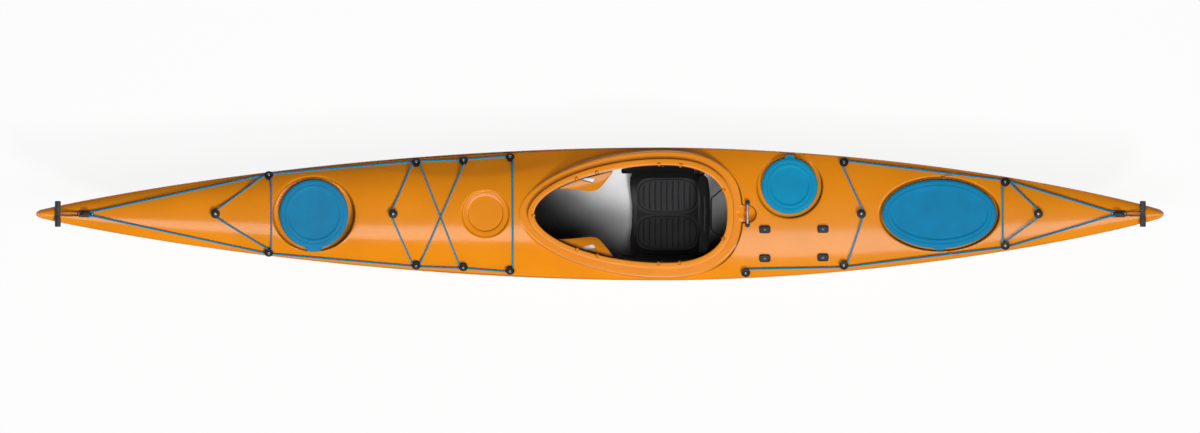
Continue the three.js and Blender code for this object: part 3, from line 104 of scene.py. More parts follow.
def squared_ring(half_x, half_y, rise, powers=(1, 1), count=48, middle=0.0):
    """Level ring from an ellipse (powers 1) to nearly a box (powers near 0)."""
    turn = turns_of(count)
    y = middle + half_y * bent(np.sin(turn), powers[1])
    return np.column_stack([half_x * bent(np.cos(turn), powers[0]), y, np.full(count, rise)])


def mirrored(points):
    """Points of one side, then the same points on the other side, in reverse."""
    return points + [(x, -y, z) for x, y, z in points[::-1]]


def side_name(side):
    return "starboard" if side > 0 else "port"


def end_share(x):
    return np.where(x < WIDEST, (WIDEST - x) / (WIDEST - BOW), (x - WIDEST) / (STERN - WIDEST))


def half_breadth(x):
    x = np.asarray(x, float)
    fore = x < WIDEST
    reach, fullness = np.where(fore, 1.92, 1.85), np.where(fore, 0.935, 0.9)
    plan = TIP_HALF + (BEAM / 2 - TIP_HALF) * np.clip(1 - np.clip(end_share(x), 0, 1) ** reach, 0, 1) ** fullness
    short = np.clip(1 - np.minimum(x - BOW, STERN - x) / TIP_ROUNDING, 0, 1)
    return plan * np.maximum(np.sqrt(1 - short**2), TIP_SHARE)


def sheer(x):
    return SHEER + np.where(np.asarray(x) < WIDEST, BOW_SHEER, STERN_SHEER) * np.clip(end_share(x), 0, 1) ** 2.6


def keel(x):
    past = np.maximum(end_share(x) - 0.25, 0) / 0.75
    return np.where(np.asarray(x) < WIDEST, BOW_KEEL, STERN_KEEL) * past**4.2


def crown(x):
    places, heights = zip(*CROWN_TABLE)
    spots = [np.interp(np.asarray(x) + share * CROWN_BLEND, places, heights) for share in np.linspace(-1, 1, 9)]
    return sum(spots) / len(spots)


def crease(x):
    along = np.clip((np.asarray(x) - at(CUTAWAY_START)) / (at(CUTAWAY_END) - at(CUTAWAY_START)), 0, 1)
    return 1 - EDGE_FACET - CUTAWAY_EXTRA * np.maximum(np.sin(math.pi * along), 0) ** 0.8


def deck_top(x, y):
    across = np.clip(np.abs(y) / half_breadth(x), 0, 1)
    line = crease(x)
    edge = (1 - line**CROWN_POWER) * (1 - across) / (1 - line)
    return sheer(x) + crown(x) * np.where(across <= line, 1 - across**CROWN_POWER, edge)


def cockpit_outline(offset, turn):
    """Outline of the cockpit opening, moved outward by an offset."""
    fore = np.cos(turn) < 0
    power = 2 / np.where(fore, FRONT_POWER, REAR_POWER)
    reach = np.where(fore, FRONT_REACH, REAR_REACH) + offset
    return COCKPIT_X + reach * bent(np.cos(turn), power), (COCKPIT_WIDTH / 2 + offset) * bent(np.sin(turn), power)


def surround_top(x):
    return mix(FRONT_TOP, REAR_TOP, (x - (COCKPIT_X - FRONT_REACH)) / COCKPIT_LENGTH)


def frame_of(x, y, z, forward, up):
    """Matrix of a spot with Z along up and X as near as can be to forward."""
    up = Vector(up).normalized()
    forward = Vector(forward)
    forward = (forward - up * forward.dot(up)).normalized()
    side = up.cross(forward)
    return Matrix((*zip(forward, side, up, (x, y, z)), (0, 0, 0, 1)))


def deck_slope(x, y, reach):
    """Slope of the deck along and across the boat, measured over a reach."""
    along = float(deck_top(x + reach, y) - deck_top(x - reach, y)) / (2 * reach)
    across = float(deck_top(x, y + reach) - deck_top(x, y - reach)) / (2 * reach)
    return along, across


def seat_frame(x, y, z, roll=0.0):
    """Frame of a seat moulded in the deck: X follows the ridge's slope, and the seat is rolled about it."""
    forward = Vector((1, 0, deck_slope(x, 0, CROWN_BLEND)[0])).normalized()
    up = Vector((0, -math.sin(roll), math.cos(roll)))
    return frame_of(x, y, z, forward, up - forward * up.dot(forward))


def deck_frame(x, y, reach):
    """Frame that stands on the deck: Z along its normal."""
    slope_x, slope_y = deck_slope(x, y, reach)
    return frame_of(x, y, float(deck_top(x, y)), (1, 0, slope_x), (-slope_x, -slope_y, 1))


def linked(name, data):
    """New object, linked to the scene."""
    obj = bpy.data.objects.new(name, data)
    bpy.context.scene.collection.objects.link(obj)
    return obj


def cleaned(mesh, merge=0.0):
    """Joins points of a mesh that lie within merge of each other, and turns its faces outward."""
    sheet = bmesh.new()
    sheet.from_mesh(mesh)
    if merge:
        bmesh.ops.remove_doubles(sheet, verts=sheet.verts, dist=merge)
    bmesh.ops.recalc_face_normals(sheet, faces=sheet.faces)
    sheet.to_mesh(mesh)
    sheet.free()


class Form:
    """Points and faces of one piece. A loft's faces carry (share round it, distance along it) as their UV."""

    def __init__(self):
        self.points, self.faces, self.marks, self.wraps = [], [], [], []

    def add(self, points, matrix=None):
        first = len(self.points)
        self.points += [matrix @ Vector(p) if matrix else Vector(p) for p in points]
        return list(range(first, len(self.points)))

    def face(self, corners, mark=0, wrap=None):
        self.faces.append(corners)
        self.marks.append(mark)
        self.wraps.append(wrap or [(0.0, 0.0)] * len(corners))

    def loft(self, rings, matrix=None, closed=True, run_closed=False, ends=(False, False), mark=0):
        """Quads between rings of as many points each; ends caps the first and the last ring."""
        rows = [self.add(ring, matrix) for ring in rings]
        count = len(rows[0])
        run = [0.0]
        middles = [sum((self.points[i] for i in row), Vector()) / count for row in rows]
        spots = middles if closed else [self.points[row[0]] for row in rows]
        for low, high in zip(spots, spots[1:] + spots[:1]):
            run.append(run[-1] + (high - low).length)
        for i, row in enumerate(rows if run_closed else rows[:-1]):
            after = rows[(i + 1) % len(rows)]
            for j in range(count if closed else count - 1):
                k = (j + 1) % count
                near, far = j / count, (j + 1) / count
                wrap = [(near, run[i]), (far, run[i]), (far, run[i + 1]), (near, run[i + 1])]
                self.face((row[j], row[k], after[k], after[j]), mark, wrap)
        for row, wanted in ((rows[0][::-1], ends[0]), (rows[-1], ends[1])):
            if wanted:
                self.face(tuple(row), mark)
        return rows

    def solid(self, rings, matrix=None, mark=0):
        """Loft with both ends capped."""
        return self.loft(rings, matrix, ends=(True, True), mark=mark)

    def turn(self, profile, matrix, sides=32, mark=0):
        """Solid of revolution about Z: profile is a list of (radius, height), from bottom to top."""
        radii = [(max(radius, TINY), height) for radius, height in profile]
        rings = [squared_ring(radius, radius, height, count=sides) for radius, height in radii]
        return self.solid(rings, matrix, mark)

    def tube(self, points, radius, sides=14, mark=0):
        """Round cord along a list of points, with a bit of its length at each."""
        points = [Vector(p) for p in points]
        side = None
        rings = []
        for before, point, after in zip(points[:1] + points, points, points[1:] + points[-1:]):
            along = (after - before).normalized()
            guess = side or (Vector((0, 0, 1)) if abs(along.z) < 0.9 else Vector((1, 0, 0)))
            side = (guess - along * guess.dot(along)).normalized()
            other = along.cross(side)
            rings.append([point + (side * math.cos(a) + other * math.sin(a)) * radius for a in turns_of(sides)])
        return self.solid(rings, mark=mark)

    def mesh(self, name):
        mesh = bpy.data.meshes.new(name)
        mesh.from_pydata([tuple(p) for p in self.points], [], self.faces)
        return mesh

    def made(self, name, looks, body="boat", slot=None, stands_for=None, sharp=32.0, merge=0.0, detail=0):
        """The piece itself: its mesh, finishes, the CAD body it rides on and the solid it stands for."""
        mesh = self.mesh(name)
        layer = mesh.uv_layers.new(name="wrap")
        layer.data.foreach_set("uv", [value for wrap in self.wraps for spot in wrap for value in spot])
        for look in looks if isinstance(looks, list) else [looks]:
            mesh.materials.append(look)
        mesh.polygons.foreach_set("material_index", self.marks)
        cleaned(mesh, merge)
        mesh.shade_smooth()
        mesh.set_sharp_from_angle(angle=math.radians(sharp))
        obj = linked(name, mesh)
        if detail:
            rounded = obj.modifiers.new("rounded", "SUBSURF")
            rounded.levels = rounded.render_levels = detail
        if body:
            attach(obj, body)
        if stands_for:
            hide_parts(stands_for)
        return obj


def thicken(obj, thickness, inner=0, rim=0):
    """Gives a sheet its wall, inward from its outer face."""
    wall = obj.modifiers.new("wall", "SOLIDIFY")
    wall.thickness, wall.offset = thickness, -1
    wall.use_even_offset = False
    wall.material_offset, wall.material_offset_rim = inner, rim
    return obj


def settle(obj):
    """Applies a piece's modifiers to its mesh."""
    graph = bpy.context.evaluated_depsgraph_get()
    mesh = bpy.data.meshes.new_from_object(obj.evaluated_get(graph), preserve_all_data_layers=True, depsgraph=graph)
    obj.modifiers.clear()
    obj.data = mesh
    return obj


def carve(obj, cutter):
    """Cuts a form out of a piece."""
    mesh = cutter.mesh("cutter")
    cleaned(mesh)
    tool = linked("cutter", mesh)
    cut = obj.modifiers.new("cut", "BOOLEAN")
    cut.object, cut.operation, cut.solver = tool, "DIFFERENCE", "EXACT"
    settle(obj)
    bpy.data.objects.remove(tool)


def paint(obj, name, values):
    """Gives each point of a piece a value that its finish reads."""
    obj.data.attributes.new(name, "FLOAT", "POINT").data.foreach_set("value", values)


def curve_through(points, step):
    """Points of a smooth curve through the given ones, about step apart."""
    points = [Vector(p) for p in points]
    ends = [points[0] * 2 - points[1], *points, points[-1] * 2 - points[-2]]
    found = []
    for a, b, c, d in zip(ends, ends[1:], ends[2:], ends[3:]):
        count = max(1, int(math.ceil((c - b).length / step)))
        for k in range(count):
            t = k / count
            bend, twist = 2 * a - 5 * b + 4 * c - d, 3 * b - a - 3 * c + d
            found.append(0.5 * (2 * b + (c - a) * t + bend * t**2 + twist * t**3))
    return found + [points[-1]]


class Value:
    """A node socket that adds Math, Mix and Vector Math nodes as it is used in an expression."""

    def __init__(self, look, socket):
        self.look, self.socket = look, socket

    def _math(self, operation, *others):
        return self.look.node("ShaderNodeMath", {"operation": operation}, dict(enumerate((self, *others))))

    def __add__(self, other):
        return self._math("ADD", other)

    def __sub__(self, other):
        return self._math("SUBTRACT", other)

    def __mul__(self, other):
        return self._math("MULTIPLY", other)

    def __truediv__(self, other):
        return self._math("DIVIDE", other)

    def __pow__(self, other):
        return self._math("POWER", other)

    def __rsub__(self, other):
        return self.look.node("ShaderNodeMath", {"operation": "SUBTRACT"}, {0: other, 1: self})

    __radd__, __rmul__ = __add__, __mul__

    def sin(self):
        return self._math("SINE")

    def over(self, level):
        return self._math("GREATER_THAN", level)

    def at_least(self, other):
        return self._math("MAXIMUM", other)

    def at_most(self, other):
        return self._math("MINIMUM", other)

    def ramp(self, low, high, to_low=0.0, to_high=1.0):
        """Smooth step from low to high, given as to_low to to_high."""
        settings = {"interpolation_type": "SMOOTHSTEP"}
        return self.look.node("ShaderNodeMapRange", settings, {0: self, 1: low, 2: high, 3: to_low, 4: to_high})


class Look:
    """One finish: a material with its Principled shader, and the nodes that feed it."""

    def __init__(self, name, **constants):
        self.material = bpy.data.materials.new(name)
        self.material.use_nodes = True
        self.tree = self.material.node_tree
        self.shader = self.tree.nodes["Principled BSDF"]
        for socket, value in constants.items():
            self.set(socket.replace("_", " "), value)

    def set(self, socket, value):
        if isinstance(value, Value):
            self.tree.links.new(value.socket, self.shader.inputs[socket])
        else:
            self.shader.inputs[socket].default_value = value

    def node(self, kind, settings=None, values=None, out=0):
        made = self.tree.nodes.new(kind)
        for key, value in (settings or {}).items():
            if key == "stops":
                ramp = made.color_ramp
                while len(ramp.elements) < len(value):
                    ramp.elements.new(0.5)
                for element, (place, colour) in zip(ramp.elements, value):
                    element.position, element.color = place, colour
            else:
                setattr(made, key, value)
        for key, value in (values or {}).items():
            if isinstance(value, Value):
                self.tree.links.new(value.socket, made.inputs[key])
            else:
                made.inputs[key].default_value = value
        return Value(self, made.outputs[out])

    def place(self, out="Object"):
        return self.node("ShaderNodeTexCoord", out=out)

    def part(self, axis, source=None):
        return self.node("ShaderNodeSeparateXYZ", values={0: source or self.place()}, out=axis)

    def wrap(self, axis):
        return self.part(axis, self.node("ShaderNodeUVMap", {"uv_map": "wrap"}))

    def weave(self, pitch):
        """Height of plain woven cloth, from its warp and its weft."""
        return (self.part(0) * pitch).sin() * (self.part(1) * pitch).sin()

    def painted(self, name):
        """Value that the piece's points carry under a name."""
        return self.node("ShaderNodeAttribute", {"attribute_name": name}, out=2)

    def noise(self, scale, detail=3.0, roughness=0.5, stretch=(1, 1, 1)):
        spot = self.node("ShaderNodeMapping", values={0: self.place(), 3: stretch})
        values = {0: spot, "Scale": scale, "Detail": detail, "Roughness": roughness}
        return self.node("ShaderNodeTexNoise", values=values)

    def cells(self, scale):
        return self.node("ShaderNodeTexVoronoi", {"feature": "F1"}, {0: self.place(), "Scale": scale})

    def blend(self, share, low, high):
        """Colour between two colours, by a share that varies over the surface."""
        return self.node("ShaderNodeMix", {"data_type": "RGBA"}, {0: share, 6: low, 7: high}, out=2)

    def cloudy(self, cloud, colour, low, high):
        """Colour that wanders between two shades of itself."""
        return self.blend(cloud.ramp(0.3, 0.7), shade(colour, low), shade(colour, high))

    def bump(self, height, depth, strength=1.0):
        values = {"Height": height, "Distance": depth, "Strength": strength}
        self.set("Normal", self.node("ShaderNodeBump", values=values))


def shade(colour, factor):
    return (*[min(value * factor, 1.0) for value in colour[:3]], 1.0)


def srgb(red, green, blue):
    """Linear colour of an 8-bit screen colour."""
    parts = [value / 255 for value in (red, green, blue)]
    return (*[value / 12.92 if value <= 0.04045 else ((value + 0.055) / 1.055) ** 2.4 for value in parts], 1.0)


def gelcoat(name, tint=1.0):
    """Polished gelcoat: deep gloss, a faint ripple, hair scratches, and painted shade where the deck's points are
    marked.
    """
    look = Look(name, Specular_IOR_Level=0.35, Coat_Weight=0.25, Coat_Roughness=0.08, IOR=1.5)
    tone = look.noise(3.0, 4.0, 0.55)
    fine = look.noise(160.0, 2.0)
    base = look.cloudy(tone, shade(srgb(237, 142, 17), tint), 0.95, 1.04)
    # Painted shade: near-black brown on the recess walls and behind the cockpit surround, as far as each point is
    # marked.
    look.set("Base Color", look.blend(look.painted("joint"), base, srgb(26, 13, 5)))
    scratch = look.noise(26.0, 6.0, 0.75, (1, 14, 14)).ramp(0.55, 0.72)
    look.set("Roughness", 0.17 + tone * 0.1 + scratch * 0.12)
    look.bump(tone * 0.6 + fine * 0.05 - scratch * 0.03, 0.0012, 0.35)
    return look.material


def laminate(name, colour, dark=None):
    """Bare laminate inside the boat: woven cloth under resin, with uneven gloss, and painted shade: darker towards
    the ends and the port side.
    """
    look = Look(name, Specular_IOR_Level=0.4)
    over = look.weave(1400.0).ramp(-0.6, 0.6)
    cloud = look.noise(9.0, 4.0, 0.6)
    base = look.cloudy(cloud, colour, 0.93, 1.05)
    if dark:
        # Painted shade: given a dark colour, the laminate goes to it towards the bow, the stern and the port side.
        x, y = look.part(0), look.part(1) * 1.1
        base = look.blend((x + y).ramp(-0.25, 0.32).at_most((y - x).ramp(-0.68, -0.45)), dark, base)
    look.set("Base Color", look.blend(over * 0.25, base, shade(dark or colour, 0.7)))
    look.set("Roughness", 0.42 + cloud * 0.3)
    look.bump(over + cloud * 2.0, 0.0005, 0.5)
    return look.material


def lid_rubber(name, colour):
    """Soft rubber lid: satin, finely stippled, paler where it has been rubbed."""
    look = Look(name, Specular_IOR_Level=0.2, Sheen_Weight=0.04)
    cloud = look.noise(11.0, 5.0, 0.6)
    rub = look.noise(34.0, 6.0, 0.7).ramp(0.6, 0.8)
    stipple = look.noise(900.0, 2.0)
    look.set("Base Color", look.blend(rub * 0.05, look.cloudy(cloud, colour, 0.93, 1.06), (0.5, 0.66, 0.74, 1)))
    look.set("Roughness", 0.46 + cloud * 0.12 + rub * 0.12)
    look.bump(stipple + cloud * 2.0, 0.0004, 0.35)
    return look.material


def moulded_black(name="black_plastic", level=(30, 30, 33), rough=0.42, worn=0.25):
    """Moulded plastic with a fine grain and paler scuffs."""
    look = Look(name, Specular_IOR_Level=0.45)
    grain = look.cells(1500.0)
    scuff = look.noise(90.0, 5.0, 0.75, (1, 3, 1)).ramp(0.55, 0.72)
    look.set("Base Color", look.blend(scuff * worn, srgb(*level), srgb(*[v + 45 for v in level])))
    look.set("Roughness", rough + scuff * 0.2)
    look.bump(grain + scuff * 0.3, 0.0003, 0.4)
    return look.material


def braid(name, colour, fleck, diameter, strands=8):
    """Braided cord: two sets of strands that cross, with a fleck in one of them."""
    look = Look(name, Specular_IOR_Level=0.15, Sheen_Weight=0.05, Sheen_Roughness=0.5)
    turns = look.wrap(0) * (2 * math.pi * strands)
    along = look.wrap(1) * (2 * math.pi * strands / (diameter * 3.2))
    right, left = (turns + along).sin(), (turns - along).sin()
    strand = right.at_least(left)
    spot = ((turns - along) / strands * 2.0).sin().over(0.86)
    base = look.blend(strand.ramp(-0.1, 0.75), shade(colour, 0.78), shade(colour, 1.15))
    look.set("Base Color", look.blend(spot * 0.3, base, fleck))
    look.set("Roughness", 0.8 - strand * 0.12)
    look.bump(strand, diameter * 0.09, 0.9)
    return look.material


def pad_cloth(name, colour, fleck, sheen=0.2):
    """Padded seat cloth: a tight plain weave with a soft sheen and lint, and painted shade along its stitched
    channels.
    """
    look = Look(name, Specular_IOR_Level=0.2, Sheen_Weight=sheen, Sheen_Roughness=0.45)
    colour = srgb(*colour)
    thread = look.weave(5200.0).ramp(-0.8, 0.8)
    cloud = look.noise(16.0, 5.0, 0.6)
    lint = look.noise(420.0, 3.0, 0.8).ramp(0.66, 0.78)
    base = look.blend(thread * 0.55 + cloud * 0.3, shade(colour, 0.6), colour)
    # Painted shade: near-black where the pad's points are marked, in its channels, on its seams and between its
    # lobes.
    base = look.blend(look.painted("sewn"), look.blend(lint * 0.3, base, srgb(*fleck)), shade(colour, 0.12))
    look.set("Base Color", base)
    look.set("Roughness", 0.78 + thread * 0.15)
    look.bump(thread + cloud, 0.0004, 0.6)
    return look.material


def metal(name, colour, rough, stretch):
    """Drawn metal with fine lines along its length and dulled spots."""
    look = Look(name, Metallic=1.0)
    lines = look.noise(240.0, 3.0, 0.6, stretch)
    dull = look.noise(70.0, 5.0, 0.7).ramp(0.52, 0.7)
    look.set("Base Color", look.blend(dull * 0.5 + lines * 0.2, srgb(*colour), shade(srgb(*colour), 0.62)))
    look.set("Roughness", rough + lines * 0.15 + dull * 0.2)
    look.bump(lines, 0.0001, 0.4)
    return look.material


def tape():
    """Seam tape under gelcoat: the hull's colour, a little browner, with brush lines."""
    look = Look("seam_tape", Coat_Weight=0.4, Coat_Roughness=0.12)
    tone = look.noise(30.0, 4.0, 0.6, (0.3, 1, 1))
    look.set("Base Color", look.blend(tone.ramp(0.3, 0.7), srgb(196, 112, 24), srgb(222, 134, 32)))
    look.set("Roughness", 0.28 + tone * 0.15)
    look.bump(tone, 0.0008, 0.5)
    return look.material


orange = gelcoat("orange_gelcoat")
rim_orange = gelcoat("rim_gelcoat", 1.04)
rim_bolt_look = gelcoat("rim_bolt_orange", 0.92)
# Its second colour is the painted shade deep inside the hull.
inside_grey = laminate("grey_laminate", srgb(250, 250, 252), srgb(24, 24, 25))
panel_grey = laminate("bulkhead_laminate", srgb(176, 178, 180))
lid_looks = {
    "bow": lid_rubber("bow_lid_rubber", srgb(22, 130, 176)),
    "day": lid_rubber("day_lid_rubber", srgb(0, 146, 190)),
    "stern": lid_rubber("stern_lid_rubber", srgb(0, 130, 178)),
}
black = moulded_black()
dark_grip = moulded_black("toggle_plastic", (64, 64, 66), 0.5)
boot_navy = moulded_black("boot_plastic", (30, 33, 52), 0.45)
# A dark washer under each rim bolt's head, as a painted shadow round it.
bolt_shadow = moulded_black("rim_bolt_shadow_washer", (30, 18, 8), 0.6)
blue_line = braid("blue_line", srgb(8, 156, 212), srgb(20, 100, 150), 0.0082)
blue_bungee = braid("blue_bungee", srgb(8, 154, 210), srgb(120, 190, 222), 0.0074, 10)
black_cord = braid("black_cord", srgb(12, 12, 13), srgb(60, 61, 64), 0.006, 6)
grey_cord = braid("grey_cord", srgb(96, 88, 80), srgb(150, 146, 140), 0.005, 6)
cloth = pad_cloth("seat_fabric", (62, 62, 64), (86, 86, 90))
band_cloth = pad_cloth("band_fabric", (15, 15, 17), (44, 44, 47), 0.08)
seat_black = moulded_black("seat_plastic", (13, 13, 14), 0.45, 0.08)
brace_orange = gelcoat("brace_gelcoat", 0.8)
pale_foam = lid_rubber("brace_foam", srgb(236, 236, 234))
stitch_thread = moulded_black("stitch_thread", (120, 120, 124), 0.7)
bar_steel = metal("brushed_stainless", (232, 233, 235), 0.42, (1, 0.1, 1))
small_steel = metal("dull_stainless", (150, 152, 155), 0.45, (1, 0.1, 1))
steel = metal("stainless", (206, 208, 210), 0.18, (1, 0.1, 1))
rail_metal = metal("aluminium_rail", (168, 171, 175), 0.3, (0.05, 1, 1))
seam_look = tape()


# Camera: straight down, as the picture was taken.
camera_data = bpy.data.cameras.new("camera")
camera_data.type = "ORTHO"
camera_data.ortho_scale = PICTURE_WIDTH * PIXEL
camera = linked("camera", camera_data)
camera.location = (0.0, -0.0115, 4.0)
bpy.context.scene.camera = camera


# Deck rigging: diameters of the cords, radii of a fitting, heights of the cords on its stem, and sizes of a pad eye.
LINE, BUNGEE, TOGGLE_CORD = 0.0082, 0.0074, 0.005
STEM, CAP, FOOT_RADIUS = 0.0075, 0.020, 0.015
LINE_LEVEL, BUNGEE_LEVEL = 0.00645, 0.0135
EYE_HALF, EYE_WIDE, EYE_PLATE, EYE_LEVEL, EYE_LOOP = 0.0365, 0.015, 0.003, 0.0033, 0.0035
TOGGLE_WAIST = 0.0105
# Place of each round fitting along the hull, its share of the half breadth, and the sides that have it.
RIDGE, PAIR, PORT = {"": 1}, {"_starboard": 1, "_port": -1}, {"_port": -1}
FITTING_SPOTS = {
    name + ending: (x, across * sign)
    for name, x, across, sides in (
        ("bow_ridge_fitting", at(0.1585), 0.0, RIDGE), ("bow_fitting", at(0.2061), 0.885, PAIR),
        ("foredeck_ridge_fitting", at(0.3164), 0.0, RIDGE), ("foredeck_front_fitting", at(0.3369), 0.88, PAIR),
        ("foredeck_middle_fitting", at(0.3788), 0.86, PAIR), ("foredeck_rear_fitting", at(0.4203), 0.88, PAIR),
        ("quarter_fitting", at(0.6293), 0.9, PORT), ("afterdeck_fitting", 1.0825, 0.88, PAIR),
        ("afterdeck_ridge_fitting", at(0.7321), 0.0, RIDGE), ("stern_fitting", at(0.8599), 0.83, PAIR),
        ("stern_ridge_fitting", at(0.8894), 0.0, RIDGE),
    )
    for ending, sign in sides.items()
}
# Stations of the pad eye and of the carrying toggle at each end.
ENDS = {"bow": (0.0434, 0.0187), "stern": (0.9605, 0.982)}


def standing_frame(x, y, reach):
    """Frame of a piece that stands on the deck, raised until its whole foot is clear of it."""
    found = deck_frame(x, y, reach)
    normal = found.col[2].to_3d()
    rise = 0.0
    for turn in turns_of(24):
        spot = found @ Vector((math.cos(turn) * reach, math.sin(turn) * reach, 0))
        rise = max(rise, (float(deck_top(spot.x, spot.y)) - spot.z) * normal.z)
    return Matrix.Translation(normal * (rise + GAP)) @ found


def end_frame(station):
    """Frame of a pad eye: X points from it towards the boat's nearer end."""
    found = standing_frame(at(station), 0.0, FOOT_RADIUS)
    return found @ Matrix.Rotation(math.pi, 4, "Z") if station < 0.5 else found


FITTING_FRAMES = {name: standing_frame(x, across * float(half_breadth(x)), FOOT_RADIUS)
                  for name, (x, across) in FITTING_SPOTS.items()}
EYE_FRAMES = {end: end_frame(eye) for end, (eye, _) in ENDS.items()}


def round_fitting(name, before, after, level, diameter, last=False):
    """Points of a cord round one fitting's stem, from one neighbour towards the other."""
    seat = FITTING_FRAMES[name]
    start, end = seat.inverted() @ Vector(before), seat.inverted() @ Vector(after)
    heading, leaving = math.atan2(-start.y, -start.x), math.atan2(end.y, end.x)
    turn = (leaving - heading + math.pi) % (2 * math.pi) - math.pi
    if last:
        outboard = math.copysign(1, FITTING_SPOTS[name][1]) * math.sin(heading - math.pi / 2)
        turn = -math.pi if outboard < 0 else math.pi
    side = -1 if turn >= 0 else 1
    tight = STEM + GAP + diameter / 2
    run = math.sqrt((CAP + GAP) ** 2 - tight**2)
    arc = []
    for share in np.linspace(0, 1, max(2, int(abs(turn) / 0.22) + 2)):
        angle = heading + turn * share + side * math.pi / 2
        arc.append(Vector((math.cos(angle) * tight, math.sin(angle) * tight, level)))
    before_arc = arc[0] - Vector((math.cos(heading), math.sin(heading), 0)) * run
    after_arc = arc[-1] + Vector((math.cos(leaving), math.sin(leaving), 0)) * run
    return [seat @ spot for spot in (before_arc, *arc, after_arc)]


def cord_rest(x, y, diameter):
    """Height of a cord's middle where it lies on the deck."""
    return float(deck_top(x, y)) + (diameter / 2 + GAP) * math.hypot(1, *deck_slope(x, y, diameter))


def over_deck(start, end, diameter):
    """Points that a taut cord touches on the deck between two of its points."""
    chain = []
    spots = [(0.0, start)]
    for share in np.linspace(0, 1, 49)[1:-1]:
        x, y = mix(start.x, end.x, share), mix(start.y, end.y, share)
        spots.append((float(share), Vector((x, y, cord_rest(x, y, diameter)))))
    for share, spot in spots + [(1.0, end)]:
        while len(chain) > 1:
            (first, low), (second, middle) = chain[-2:]
            if middle.z > mix(low.z, spot.z, (second - first) / (share - first)) + 1e-5:
                break
            chain.pop()
        chain.append((share, spot))
    return [spot for _, spot in chain[1:-1]]


def route_over(stops, level, diameter):
    """Route of a cord over fittings, by name, and points. An end at a fitting turns round behind its stem."""
    spots = [FITTING_FRAMES[stop].translation if isinstance(stop, str) else Vector(stop) for stop in stops]
    route = []
    for i, stop in enumerate(stops):
        if not isinstance(stop, str):
            run = [spots[i]]
        elif i == 0:
            run = round_fitting(stop, spots[1], spots[1], level, diameter, True)[1:]
        elif i == len(stops) - 1:
            run = round_fitting(stop, spots[-2], spots[-2], level, diameter, True)[:-1]
        else:
            run = round_fitting(stop, spots[i - 1], spots[i + 1], level, diameter)
        if route:
            route += over_deck(route[-1], run[0], diameter)
        route += run
    return route


def under_eye(end, side):
    """Points where a deck line passes under a pad eye's arch, from its middle to one side."""
    level = EYE_LEVEL + LINE / 2
    back, out = -(LINE / 2 + GAP), EYE_LOOP + LINE / 2 + 2 * GAP
    spots = [(back - 0.0006, 0.0), (back - 0.0008, out * 0.5), (back - 0.0018, out * 0.82), (back - LINE * 0.7, out),
             (back - LINE * 1.6, out + GAP), (-EYE_HALF - LINE, out + LINE / 2)]
    flip = -side if end == "bow" else side
    return [EYE_FRAMES[end] @ Vector((x, flip * y, level)) for x, y in spots]


def rigging_cord(name, stops, level, diameter, look):
    """One cord of the deck rigging, without points that lie too near each other."""
    route = route_over(stops, level, diameter)
    clean = [route[0]]
    for spot in route[1:]:
        if (spot - clean[-1]).length > 0.0006:
            clean.append(spot)
    form = Form()
    form.tube(clean, diameter / 2, 16)
    return form.made(f"{name}_braid", look, slot="blue_cord", stands_for=name, sharp=60)


def deck_rigging():
    """Deck lines and bungees. The line passes outboard of the foredeck's middle fittings."""
    rows = {}
    for side in (1, -1):
        places = ("bow", "foredeck_front", "foredeck_middle", "foredeck_rear")
        row = [f"{place}_fitting_{side_name(side)}" for place in places]
        row[2] = FITTING_FRAMES[row[2]] @ Vector((0, side * (STEM + GAP + LINE / 2), LINE_LEVEL))
        rows[side] = row
    round_bow = [*under_eye("bow", 1), *rows[1], *rows[-1][::-1], *under_eye("bow", -1)[::-1][:-1]]
    port_side = ["quarter_fitting_port", "afterdeck_fitting_port", "stern_fitting_port",
                 *under_eye("stern", -1)[::-1]]
    starboard_side = [*under_eye("stern", 1)[1:], "stern_fitting_starboard", "afterdeck_fitting_starboard"]
    for name, stops in (("bow_deckline", round_bow), ("stern_deckline_port", port_side),
                        ("stern_deckline_starboard", starboard_side)):
        rigging_cord(name, stops, LINE_LEVEL, LINE, blue_line)
    middle, front = (FITTING_FRAMES[f"foredeck_{name}_fitting_starboard"].translation for name in ("middle", "front"))
    cross_x = mix(middle.x, front.x, middle.y / (middle.y + front.y))
    hump = Vector((cross_x, 0, cord_rest(cross_x, 0, BUNGEE) + BUNGEE + GAP))
    for name, stops in (
        ("bow_triangle", ["bow_fitting_port", "bow_ridge_fitting", "bow_fitting_starboard", "bow_fitting_port"]),
        ("bow_cross", ["foredeck_middle_fitting_starboard", "foredeck_front_fitting_port", "foredeck_ridge_fitting",
                       "foredeck_front_fitting_starboard", hump, "foredeck_middle_fitting_port"]),
        ("afterdeck", ["afterdeck_fitting_starboard", "afterdeck_ridge_fitting", "afterdeck_fitting_port"]),
        ("stern_triangle", ["stern_fitting_port", "stern_ridge_fitting", "stern_fitting_starboard",
                            "stern_fitting_port"]),
    ):
        rigging_cord(f"{name}_bungee", stops, BUNGEE_LEVEL, BUNGEE, blue_bungee)


def toggle_middle(end):
    """Middle of a carrying toggle, which lies on the deck's ridge, in its pad eye's frame."""
    eye, toggle_station = ENDS[end]
    spot = EYE_FRAMES[end] @ Vector((abs(at(toggle_station) - at(eye)), 0, 0))
    spot.z = float(deck_top(spot.x, 0)) + TOGGLE_WAIST + GAP
    return EYE_FRAMES[end].inverted() @ spot


